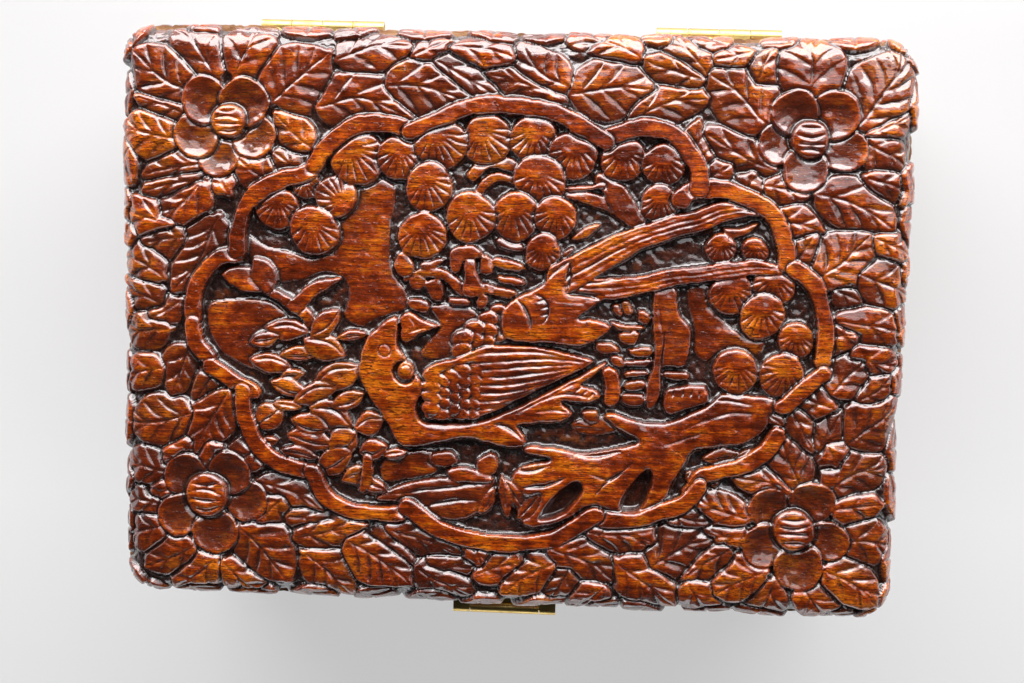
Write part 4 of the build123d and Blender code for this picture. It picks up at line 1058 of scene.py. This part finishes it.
def write_values(mesh, name, values, domain="POINT"):
    made = mesh.attributes.new(name, "FLOAT", domain)
    made.data.foreach_set("value", np.asarray(values, np.float32))


def grid_faces(index):
    """Four-cornered faces over a table of point numbers.

    They face up when its rows run along Y and its columns along X.
    """
    ring = [index[:-1, :-1], index[:-1, 1:], index[1:, 1:], index[1:, :-1]]
    return np.stack(ring, -1).reshape(-1, 4)


def sheet_normals(points):
    """A normal at each place of a table of points, over the whole table."""
    normal = np.cross(np.gradient(points, axis=1), np.gradient(points, axis=0))
    return normal / np.maximum(np.linalg.norm(normal, axis=2, keepdims=True), 1e-12)


def edge_wrap_tree():
    """Bends a flat carved sheet over the board's rounded edge and corners and down its sides."""
    group = bpy.data.node_groups.new("wrap_over_board_edge", "GeometryNodeTree")
    face = group.interface
    face.new_socket("Sheet", in_out="INPUT", socket_type="NodeSocketGeometry")
    for name in ("Core Half Width", "Core Half Depth", "Corner Radius", "Edge Radius",
                 "Top", "Foot"):
        face.new_socket(name, in_out="INPUT", socket_type="NodeSocketFloat")
    face.new_socket("Finish", in_out="INPUT", socket_type="NodeSocketMaterial")
    face.new_socket("Board", in_out="OUTPUT", socket_type="NodeSocketGeometry")
    tree = Tree(group)
    given = tree.add("NodeGroupInput").socket.node
    sheet, half_x, half_y, corner, edge, top, foot, finish = [
        Socket(tree, output) for output in given.outputs[:8]]
    x, y, cut = tree.parts(tree.add("GeometryNodeInputPosition"))
    core_x = x.most(0 - half_x).least(half_x)
    core_y = y.most(0 - half_y).least(half_y)
    out_x, out_y = x - core_x, y - core_y
    reach = (out_x * out_x + out_y * out_y) ** 0.5
    way_x, way_y = out_x / reach.most(1e-9), out_y / reach.most(1e-9)
    flat = corner - edge
    bend = ((reach - flat) / edge).most(0.0).least(math.pi / 2)
    lean, rise = bend.maths("SINE"), bend.maths("COSINE")
    offset = reach.least(flat) + edge * lean + cut * lean
    drop = edge * (1 - rise) + (reach - flat - edge * (math.pi / 2)).most(0.0)
    place = tree.vector(core_x + way_x * offset, core_y + way_y * offset,
                        (top - drop + cut * rise).most(foot))
    wrapped = tree.add("GeometryNodeSetPosition", {}, {"Geometry": sheet, "Position": place})
    real = tree.add("GeometryNodeRealizeInstances", {}, {"Geometry": wrapped})
    done = tree.add("GeometryNodeSetMaterial", {}, {"Geometry": real, "Material": finish})
    tree.add("NodeGroupOutput", {}, {0: done})
    return group


def wrapped_sheet(u, v, cut, sizes, finish):
    """Runs the wrap over a table of places (mm) and returns the table of points (m)."""
    index = np.arange(u.size).reshape(u.shape)
    places = np.stack([u, v, cut], -1).reshape(-1, 3) * MM
    flat = scene_object("lid_sheet", mesh_from("lid_sheet", places, [grid_faces(index)]))
    wrap = flat.modifiers.new("wrap", "NODES")
    wrap.node_group = edge_wrap_tree()
    inputs = {i.name: i.identifier for i in wrap.node_group.interface.items_tree
              if i.in_out == "INPUT"}
    for name, value in sizes.items():
        wrap[inputs[name]] = value * MM
    wrap[inputs["Finish"]] = finish
    mesh = result_of(flat)
    points = values_of(mesh.vertices, "co", width=3).reshape(*u.shape, 3)
    bpy.data.meshes.remove(mesh)
    return points


def result_of(made):
    """The mesh that an object's modifiers make; the object itself is removed."""
    shaped = made.evaluated_get(bpy.context.evaluated_depsgraph_get())
    mesh = bpy.data.meshes.new_from_object(shaped)
    bpy.data.objects.remove(made)
    return mesh


def lid_board(finish):
    """The carved board: one sheet over its top and sides, in strips with flat undersides."""
    low, high = (np.array(corner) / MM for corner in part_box("lid_board"))
    half_x, half_y = high[0] - CORNER_RADIUS, high[1] - CORNER_RADIUS
    reach = (CORNER_RADIUS - EDGE_RADIUS + EDGE_RADIUS * math.pi / 2
             + (high[2] - EDGE_RADIUS - low[2]))
    lines = []
    for half in (half_x, half_y):
        inner = np.linspace(-half, half, round(2 * half / LID_PITCH) + 1)
        outer = np.linspace(0, reach, round(reach / LID_PITCH) + 1)[1:]
        lines.append(np.concatenate([-half - outer[::-1], inner, half + outer]))
    u, v = np.meshgrid(*lines)
    du, dv = np.abs(u) - half_x, np.abs(v) - half_y
    corner = (du > 0) & (dv > 0)
    radius, least = np.maximum(du, dv), np.minimum(du, dv)
    turn = np.where(corner, math.pi / 4 * least / np.maximum(radius, 1e-9), 0)
    turn = np.where(du >= dv, turn, math.pi / 2 - turn)
    u = np.where(corner, np.sign(u) * (half_x + radius * np.cos(turn)), u)
    v = np.where(corner, np.sign(v) * (half_y + radius * np.sin(turn)), v)
    carving = Carving(u, v, LID_GROUND)
    carve_lid(carving, half_x, half_y)
    cut, marks = carving.finish(u.shape, LID_PITCH)
    points = wrapped_sheet(u, v, cut, {
        "Core Half Width": half_x, "Core Half Depth": half_y,
        "Corner Radius": CORNER_RADIUS, "Edge Radius": EDGE_RADIUS,
        "Top": high[2], "Foot": low[2],
    }, finish)
    normals = sheet_normals(points)
    bounds = np.linspace(0, u.shape[1] - 1, LID_STRIPS + 1).astype(int)
    return [board_strip(f"lid_board_strip_{number}", points, normals, marks, first, last,
                        low[2] * MM, finish)
            for number, (first, last) in enumerate(zip(bounds, bounds[1:]), 1)]


def board_strip(name, points, normals, marks, first, last, foot, finish):
    """One strip of the board, closed with cut sides and an underside.

    It runs from one column of the sheet to another; at the sheet's own ends it needs no side.
    """
    part = points[:, first:last + 1]
    rows, columns = part.shape[:2]
    sheet = np.arange(rows * columns).reshape(rows, columns)
    places, faces = [part.reshape(-1, 3)], [grid_faces(sheet)]
    count = rows * columns
    feet = {}
    for column, at_border in ((0, first == 0), (columns - 1, last == points.shape[1] - 1)):
        upper = sheet[:, column]
        if at_border:
            feet[column] = upper
            continue
        below = part[1:-1, column].copy()
        below[:, 2] = foot
        places.append(below)
        lower = np.concatenate([upper[:1], np.arange(count, count + rows - 2), upper[-1:]])
        feet[column] = lower
        count += rows - 2
        if column:
            upper, lower = upper[::-1], lower[::-1]
        faces.append(np.stack([upper[:-1], upper[1:], lower[1:], lower[:-1]], -1)[1:-1])
        faces += [[upper[0], upper[1], lower[1]], [upper[-2], upper[-1], lower[-2]]]
    faces.append(list(np.concatenate([feet[0], sheet[-1, 1:-1], feet[columns - 1][::-1],
                                      sheet[0, -2:0:-1]])))
    mesh = mesh_from(name, np.concatenate(places), faces)
    smooth = np.arange(len(mesh.polygons)) < (rows - 1) * (columns - 1)
    mesh.polygons.foreach_set("use_smooth", smooth)
    corners = values_of(mesh.loops, "vertex_index", np.int32)
    own = np.zeros((len(corners), 3), np.float32)
    of_sheet = 4 * (rows - 1) * (columns - 1)
    own[:of_sheet] = normals[:, first:last + 1].reshape(-1, 3)[corners[:of_sheet]]
    mesh.normals_split_custom_set(own)
    spare = np.zeros(count - rows * columns)
    for mark, table in marks.items():
        write_values(mesh, mark, np.concatenate([table[:, first:last + 1].ravel(), spare]))
    write_values(mesh, "stain", smooth, "FACE")
    mesh.materials.append(finish)
    return scene_object(name, mesh)


def merged_copy(node):
    """A welded copy of one node's solid, for cutting with."""
    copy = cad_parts[node].data.copy()
    work = bmesh.new()
    work.from_mesh(copy)
    bmesh.ops.remove_doubles(work, verts=work.verts, dist=1e-6)
    bmesh.ops.dissolve_degenerate(work, edges=work.edges, dist=1e-7)
    work.to_mesh(copy)
    work.free()
    copy.materials.clear()
    return scene_object(node + "_solid", copy)


def planed_copy(node, along, across, depth):
    """A copy of a wall whose relief is planed off and put back whole, 1 mm proud.

    It is for a wall at the front, along mm long each way and across mm from the middle.
    """
    piece = merged_copy(node)
    shape = bmesh.new()
    shape.from_mesh(piece.data)
    bmesh.ops.bisect_plane(shape, geom=shape.verts[:] + shape.edges[:] + shape.faces[:],
                           dist=1e-7, plane_co=(0, (depth - across) * MM, 0),
                           plane_no=(0, -1, 0), clear_outer=True)
    rim = [edge for edge in shape.edges if edge.is_boundary]
    grown = bmesh.ops.extrude_edge_only(shape, edges=rim)["geom"]
    reach = depth + 1
    for vertex in (part for part in grown if isinstance(part, bmesh.types.BMVert)):
        if abs(vertex.co.x) > (along - depth - 0.05) * MM:
            vertex.co.x += math.copysign(reach * MM, vertex.co.x)
        vertex.co.y -= reach * MM
    front = [part for part in grown if isinstance(part, bmesh.types.BMEdge)]
    bmesh.ops.triangle_fill(shape, use_beauty=True, edges=front, normal=(0, -1, 0))
    bmesh.ops.recalc_face_normals(shape, faces=shape.faces[:])
    shape.to_mesh(piece.data)
    shape.free()
    return piece


# Each side's turn about Z, and its flowers: middle (along the side and up) and radius
SIDES = {"front": 0, "right": 90, "back": 180, "left": 270}
SIDE_FLOWERS = {
    "front": [((-78, 42), 6.0), ((78, 40), 6.0), ((-36, 30), 4.6), ((38, 32), 4.6)],
    "right": [((-42, 42), 6.0), ((42, 40), 6.0), ((0, 30), 5.0)],
    "back": [((-84, 42), 6.0), ((84, 40), 6.0), ((0, 42), 6.6), ((-42, 28), 4.8),
             ((42, 30), 4.8)],
    "left": [((-40, 40), 6.0), ((42, 42), 6.0), ((1, 54), 5.0)],
}
STAPLE_REST = (8.5, 61, 75)    # flat place under the staple: half its width, its foot and its top


def carved_side(side, nodes, finish):
    """A wall and the lid's rail above it, carved as one sheet and cut to each node's shape."""
    lows, highs = zip(*(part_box(node) for node in nodes))
    along, across = (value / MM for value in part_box("lid_board")[1][:2])
    if side in ("left", "right"):
        along, across = across, along
    low = min(c[2] for c in lows) / MM - SHEET_MARGIN
    high = max(c[2] for c in highs) / MM + SHEET_MARGIN
    straight = along - CORNER_RADIUS
    end = straight + CORNER_RADIUS * math.radians(SHEET_END_ANGLE)
    s = np.linspace(-end, end, round(2 * end / WALL_PITCH) + 1)
    h = np.linspace(low, high, round((high - low) / WALL_PITCH) + 1)
    s, h = np.meshgrid(s, h)
    carving = Carving(s, h, WALL_GROUND)
    carve_side(carving, 2 * end, low, high, 31 + SIDES[side], SIDE_FLOWERS[side],
               STAPLE_REST if side == "front" else None)
    parting = high - PARTING_DEPTH
    carving.z -= 0.5 * np.exp(-((h.ravel() - parting) / 0.5) ** 2)
    cut, marks = carving.finish(s.shape, WALL_PITCH)
    past = np.maximum(np.abs(s) - straight, 0) / CORNER_RADIUS
    radius = CORNER_RADIUS + cut
    x = np.where(past > 0, np.sign(s) * (straight + radius * np.sin(past)), s)
    y = np.where(past > 0, -across + CORNER_RADIUS - radius * np.cos(past), -across - cut)
    points = np.stack([x, y, h], -1).reshape(-1, 3)
    index = np.arange(s.size).reshape(s.shape)
    ring = np.concatenate([index[0, :-1], index[:-1, -1], index[-1, :0:-1], index[:0:-1, 0]])
    back = points[ring]
    back[:, 1] = -across + SHEET_BLOCK_DEPTH
    rear = np.arange(len(ring)) + s.size
    walls = np.stack([ring, rear, np.roll(rear, -1), np.roll(ring, -1)], -1)
    c, d = (f(math.radians(SIDES[side])) for f in (math.cos, math.sin))
    spin = np.array([[c, -d, 0], [d, c, 0], [0, 0, 1]])
    block = mesh_from(side + "_sheet",
                      (np.concatenate([points, back]) * MM).astype(np.float32) @ spin.T,
                      [grid_faces(index), walls, list(rear[::-1])])
    sheet = scene_object(side + "_sheet", block)
    made = []
    for node in nodes:
        if node == "front_wall":
            solid = planed_copy(node, along, across, FRONT_FACE_DEPTH)
        else:
            solid = merged_copy(node)
        trim = solid.modifiers.new("carve", "BOOLEAN")
        trim.operation, trim.solver, trim.object = "INTERSECT", "MANIFOLD", sheet
        mesh = result_of(solid)
        mesh.name = node + "_carved"
        dress_side(mesh, spin, straight, across, (low, high, end), cut, marks)
        mesh.materials.clear()
        mesh.materials.append(finish)
        made.append(scene_object(node + "_carved", mesh))
    bpy.data.objects.remove(sheet)
    return made


def dress_side(mesh, spin, straight, across, bounds, cut, marks):
    """Writes the marks of each point of a cut wall, and smooths and stains the carved face alone.

    bounds are the foot, the top and the half length of the sheet that the wall was cut with.
    """
    low, high, end = bounds
    places = values_of(mesh.vertices, "co", width=3).reshape(-1, 3).astype(float)
    x, y, z = (places @ spin / MM).T
    out_x, out_y = np.abs(x) - straight, CORNER_RADIUS - across - y
    turned = out_x > 0
    angle = np.clip(np.arctan2(out_x, np.maximum(out_y, 1e-6)), 0, math.pi / 2)
    s = np.where(turned, np.sign(x) * (straight + CORNER_RADIUS * angle), x)
    depth = np.where(turned & (out_y > 0), CORNER_RADIUS - np.hypot(out_x, out_y), y + across)
    rows, columns = cut.shape
    i = np.clip((z - low) / (high - low) * (rows - 1), 0, rows - 1.001)
    j = np.clip((s + end) / (2 * end) * (columns - 1), 0, columns - 1.001)
    a, b = i.astype(int), j.astype(int)
    fi, fj = i - a, j - b

    def read(table):
        upper = table[a + 1, b] * (1 - fj) + table[a + 1, b + 1] * fj
        lower = table[a, b] * (1 - fj) + table[a, b + 1] * fj
        return lower * (1 - fi) + upper * fi
    carved = np.abs(depth + read(cut)) < 0.12
    for mark, table in marks.items():
        write_values(mesh, mark, np.where(carved, read(table), 0))
    corners = values_of(mesh.loops, "vertex_index", np.int32)
    starts = values_of(mesh.polygons, "loop_start", np.int32)
    smooth = np.logical_and.reduceat(carved[corners], starts)
    mesh.polygons.foreach_set("use_smooth", smooth)
    write_values(mesh, "stain", smooth, "FACE")


# ---- Finishes --------------------------------------------------------------------------
def new_material(name):
    made = bpy.data.materials.new(name)
    made.use_nodes = True
    made.node_tree.nodes.clear()
    return made, Tree(made.node_tree)


def surface(tree, values, colour, roughness, normal):
    """The surface shader, with its own values and the three that vary in every finish."""
    shader = tree.add("ShaderNodeBsdfPrincipled", {}, {
        **values, "Base Color": colour, "Roughness": roughness, "Normal": normal,
    })
    tree.add("ShaderNodeOutputMaterial", {}, {"Surface": shader})


def place_mm(tree):
    """Object coordinates in millimetres."""
    spot = tree.add("ShaderNodeTexCoord", out=3)
    return tree.add("ShaderNodeVectorMath", {"operation": "SCALE"}, {0: spot, "Scale": 1000.0})


def noise(tree, vector, scale=1.0, detail=3.0, roughness=0.5):
    return tree.add("ShaderNodeTexNoise", {}, {
        "Vector": vector, "Scale": scale, "Detail": detail, "Roughness": roughness,
    })


def ramp(tree, share, *stops):
    """A colour that runs through stops, each (place, colour)."""
    return tree.add("ShaderNodeValToRGB", {"stops": stops}, {"Fac": share})


def bumps(tree, strength, distance, height):
    return tree.add("ShaderNodeBump", {}, {
        "Strength": strength, "Distance": distance, "Height": height,
    })


def stretched(tree, spot, along, aside, grain="X"):
    """Coordinates drawn out along the grain, which runs along an axis."""
    return tree.vector(*(part * (along if axis == grain else aside)
                         for axis, part in zip("XYZ", tree.parts(spot))))


def carved_wood(name, grain="X"):
    """Stained and varnished camphor wood, and plain where unstained.

    Its hollows are nearly black from painted shade and from stain pooled in rough ground.
    """
    made, tree = new_material(name)
    spot = place_mm(tree)
    hollow, sunk, rough, stain = (tree.add("ShaderNodeAttribute", {"attribute_name": mark}, out=2)
                                  for mark in ("hollow", "sunk", "rough", "stain"))
    streaks = noise(tree, stretched(tree, spot, 0.05, 0.75, grain), detail=5, roughness=0.62)
    dashes = noise(tree, stretched(tree, spot, 0.28, 2.6, grain), detail=3)
    pores = noise(tree, stretched(tree, spot, 0.9, 4.2, grain), detail=1)
    cloud = noise(tree, spot, scale=0.03, detail=3)
    mottle = noise(tree, spot, scale=0.16, detail=4, roughness=0.6)
    lines = noise(tree, stretched(tree, spot, 0.07, 1.9, grain), detail=3, roughness=0.6)
    depth = (streaks * 1.3 + cloud * 1.5 + mottle * 1.4 + dashes * 0.5 - 1.83).held()
    face = ramp(tree, depth, (0.15, (0.085, 0.010, 0.002)), (0.36, (0.28, 0.032, 0.003)),
                (0.55, (0.62, 0.092, 0.004)), (0.82, (0.94, 0.240, 0.009)))
    face = tree.mix(lines.between(0.47, 0.62) * 0.75, face, (0.20, 0.026, 0.005))
    marks = dashes.between(0.53, 0.60) * 0.85 + pores.between(0.56, 0.66) * 0.6
    face = tree.mix(marks.held(), face, (0.11, 0.015, 0.004))
    # painted shade: wood sunk below its neighbours, or lying half deep, is darkened towards dark
    # red-brown
    shadow = (sunk.between(-0.22, 0.65) * 0.88).held()
    face = tree.mix(shadow, face, (0.10, 0.020, 0.009))
    # painted shade in the hollows, nearly black by how hollow they are, plus stain pooled in rough
    # pitted ground; shade is their dark colour
    stain_and_painted_shade = (hollow.between(0.04, 0.40) * 0.88 + rough * 0.62).held()
    patches = noise(tree, spot, scale=0.9, detail=3).between(0.4, 0.7)
    shade = tree.mix(patches, (0.024, 0.010, 0.008), (0.072, 0.027, 0.018))
    carved = tree.mix(stain_and_painted_shade, face, shade)
    plain = ramp(tree, depth, (0.3, (0.22, 0.10, 0.040)), (0.5, (0.34, 0.17, 0.075)),
                 (0.75, (0.45, 0.25, 0.12)))
    plain = tree.mix(marks * 0.5, plain, (0.20, 0.09, 0.035))
    colour = tree.mix(stain, plain, carved)
    gloss = (0.06 + noise(tree, spot, scale=1.6, detail=4) * 0.12 + rough * 0.16
             + (1 - stain) * 0.7).held()
    beads = noise(tree, spot, scale=0.8, detail=2).between(0.60, 0.72)
    height = (streaks * 0.25 + dashes * 0.20
              + noise(tree, spot, scale=0.45, detail=5, roughness=0.7) * 1.1
              + beads * 0.45 + noise(tree, spot, scale=2.2, detail=3) * rough * 0.3)
    surface(tree, {"IOR": 1.5, "Coat Roughness": 0.06, "Coat IOR": 1.85, "Coat Weight": stain},
            colour, gloss, bumps(tree, 0.6, 0.0004, height))
    return made


def plain_wood(name):
    """Planed camphor wood with a thin varnish, for the bottom board."""
    made, tree = new_material(name)
    spot = place_mm(tree)
    streaks = noise(tree, stretched(tree, spot, 0.03, 0.45), detail=5, roughness=0.6)
    dashes = noise(tree, stretched(tree, spot, 0.3, 3.4), detail=2)
    colour = ramp(tree, streaks, (0.25, (0.24, 0.10, 0.04)), (0.5, (0.40, 0.20, 0.085)),
                  (0.75, (0.54, 0.30, 0.14)))
    colour = tree.mix(dashes.between(0.55, 0.7) * 0.5, colour, (0.18, 0.08, 0.03))
    surface(tree, {"IOR": 1.5}, colour, 0.42 + dashes * 0.2,
            bumps(tree, 0.4, 0.0002, streaks * 0.6 + dashes * 0.4))
    return made


def brass(name):
    """Pressed brass: pale gold where it is rubbed, brown where tarnish gathers."""
    made, tree = new_material(name)
    spot = place_mm(tree)
    tarnish = noise(tree, spot, scale=0.22, detail=5, roughness=0.65).between(0.45, 0.72)
    specks = noise(tree, spot, scale=1.8, detail=3).between(0.6, 0.74)
    colour = tree.mix(tarnish * 0.65, (0.80, 0.58, 0.20), (0.42, 0.27, 0.09))
    colour = tree.mix(specks * 0.6, colour, (0.16, 0.10, 0.04))
    rubbed = noise(tree, stretched(tree, spot, 0.4, 6.0), detail=3)
    height = rubbed * 0.6 + noise(tree, spot, scale=0.6) * 0.5
    surface(tree, {"Metallic": 1.0}, colour, (0.22 + tarnish * 0.22 + rubbed * 0.14).held(),
            bumps(tree, 0.35, 0.0001, height))
    return made


def nail_steel(name):
    """Drawn wire gone dull, with brown spots."""
    made, tree = new_material(name)
    spot = place_mm(tree)
    rust = noise(tree, spot, scale=0.9, detail=4, roughness=0.6).between(0.52, 0.7)
    colour = tree.mix(rust * 0.7, (0.42, 0.41, 0.39), (0.16, 0.075, 0.035))
    surface(tree, {"Metallic": 1.0}, colour, 0.38 + rust * 0.3,
            bumps(tree, 0.3, 0.0001, noise(tree, spot, scale=3.0, detail=2)))
    return made


def give(node, finish):
    """A frame node keeps its solid and takes a finish."""
    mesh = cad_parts[node].data
    mesh.materials.clear()
    mesh.materials.append(finish)


# ---- Making ----------------------------------------------------------------------------
wood_across = carved_wood("carved_camphor_wood")
wood_along = carved_wood("carved_camphor_wood_side_boards", grain="Y")
bare_wood = plain_wood("planed_camphor_wood")
hinge_brass = brass("pressed_brass")
wire = nail_steel("wire_nail_steel")

for strip in lid_board(wood_across):
    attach(strip, "lid")
    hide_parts("lid_board")

for side in SIDES:
    boards = {side + "_wall": "body", side + "_rail": "lid"}
    grain = wood_across if side in ("front", "back") else wood_along
    for piece, (node, body) in zip(carved_side(side, boards, grain), boards.items()):
        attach(piece, body)
        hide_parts(node)

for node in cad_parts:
    if node.endswith(("_leaf", "_pin", "_strap", "_screws")) or node == "staple":
        give(node, hinge_brass)
    elif node.endswith("_nails"):
        give(node, wire)
    elif node == "bottom_board":
        give(node, bare_wood)


# ---- Floor, light and camera -----------------------------------------------------------
def ray_kinds(tree):
    """Whether a ray is the camera's, a reflection or one that has passed through something."""
    rays = tree.add("ShaderNodeLightPath").socket.node
    return [Socket(tree, rays.outputs[name])
            for name in ("Is Camera Ray", "Is Glossy Ray", "Is Transmission Ray")]


def pale_floor():
    """A grey floor that glows for what looks at it, more towards the front."""
    mesh = bpy.data.meshes.new("floor")
    mesh.from_pydata([(-6, -6, 0), (6, -6, 0), (6, 6, 0), (-6, 6, 0)], [], [(0, 1, 2, 3)])
    made, tree = new_material("pale_floor")
    _, depth, _ = tree.parts(tree.add("ShaderNodeTexCoord", out=3))
    camera, glossy, through = ray_kinds(tree)
    pale = tree.add("ShaderNodeBsdfDiffuse", {}, {"Color": (0.50, 0.50, 0.50)})
    glow = camera.most(glossy).most(through) * (0.20 + depth.between(0.10, -0.08) * 0.28)
    lift = tree.add("ShaderNodeEmission", {}, {"Strength": glow})
    both = tree.add("ShaderNodeAddShader", {}, {0: pale, 1: lift})
    tree.add("ShaderNodeOutputMaterial", {}, {"Surface": both})
    mesh.materials.append(made)
    floor = scene_object("floor", mesh)


def lamp(name, place, target, size, watts, colour, sheen_only=False):
    """A soft rectangular lamp that faces a place.

    One that gives sheen only is seen in the varnish and lights nothing.
    """
    data = bpy.data.lights.new(name, "AREA")
    data.shape = "RECTANGLE"
    data.size, data.size_y = size
    data.energy, data.color = watts, colour
    made = scene_object(name, data)
    made.location = place
    made.visible_diffuse = not sheen_only
    gap = [t - p for t, p in zip(target, place)]
    tilt = math.acos(-gap[2] / math.hypot(*gap))
    made.rotation_euler = (tilt, 0, math.atan2(gap[1], gap[0]) - math.pi / 2)


def dome():
    """White to the camera, a soft light from everywhere, and in reflections a dark ceiling.

    Reflections of the low part behind the box are brightest.
    """
    world = bpy.data.worlds.new("studio")
    bpy.context.scene.world = world
    world.use_nodes = True
    world.node_tree.nodes.clear()
    tree = Tree(world.node_tree)
    _, back, height = tree.parts(tree.add("ShaderNodeTexCoord", out=0))
    camera, glossy, through = ray_kinds(tree)
    white = camera.most(through)
    low_part = (1 - height.between(0.25, 0.7)) * (0.10 + 0.4 * back.between(-0.1, 0.4))
    light = white + glossy * (low_part + 0.010) + (1 - white.most(glossy)) * 0.10
    shader = tree.add("ShaderNodeBackground", {}, {
        "Color": (0.93, 0.96, 1.0), "Strength": light.least(1.0),
    })
    tree.add("ShaderNodeOutputWorld", {}, {"Surface": shader})


BOX_MIDDLE = (0, 0, 0.05)
pale_floor()
lamp("window", (0.03, 0.40, 0.29), (0.03, 0, 0.12), (1.1, 0.40), 8.4, (1.0, 0.985, 0.99))
lamp("lit_ceiling", (0.34, 0.66, 1.15), (0.05, 0.0, 0.08), (1.4, 0.95), 6.4, (1.0, 0.97, 1.0),
     sheen_only=True)
lamp("front_fill", (0.0, -1.2, 0.15), BOX_MIDDLE, (1.2, 0.5), 3.0, (0.95, 0.97, 1.0))
lamp("left_fill", (-1.2, 0.1, 0.2), BOX_MIDDLE, (0.8, 0.5), 1.2, (0.90, 0.94, 1.0))
lamp("right_fill", (1.2, 0.1, 0.2), BOX_MIDDLE, (0.8, 0.5), 1.6, (0.95, 0.97, 1.0))
dome()

scene = bpy.context.scene
scene.view_settings.view_transform = "Standard"
lens = bpy.data.cameras.new("camera")
lens.lens, lens.sensor_width, lens.clip_start = 50.0, 36.0, 0.01
camera = scene_object("camera", lens)
camera.location = (0.02104, 0.04664, 0.52816)
camera.rotation_euler = [math.radians(angle) for angle in (-6.75172, 2.85839, 1.52037)]
scene.camera = camera
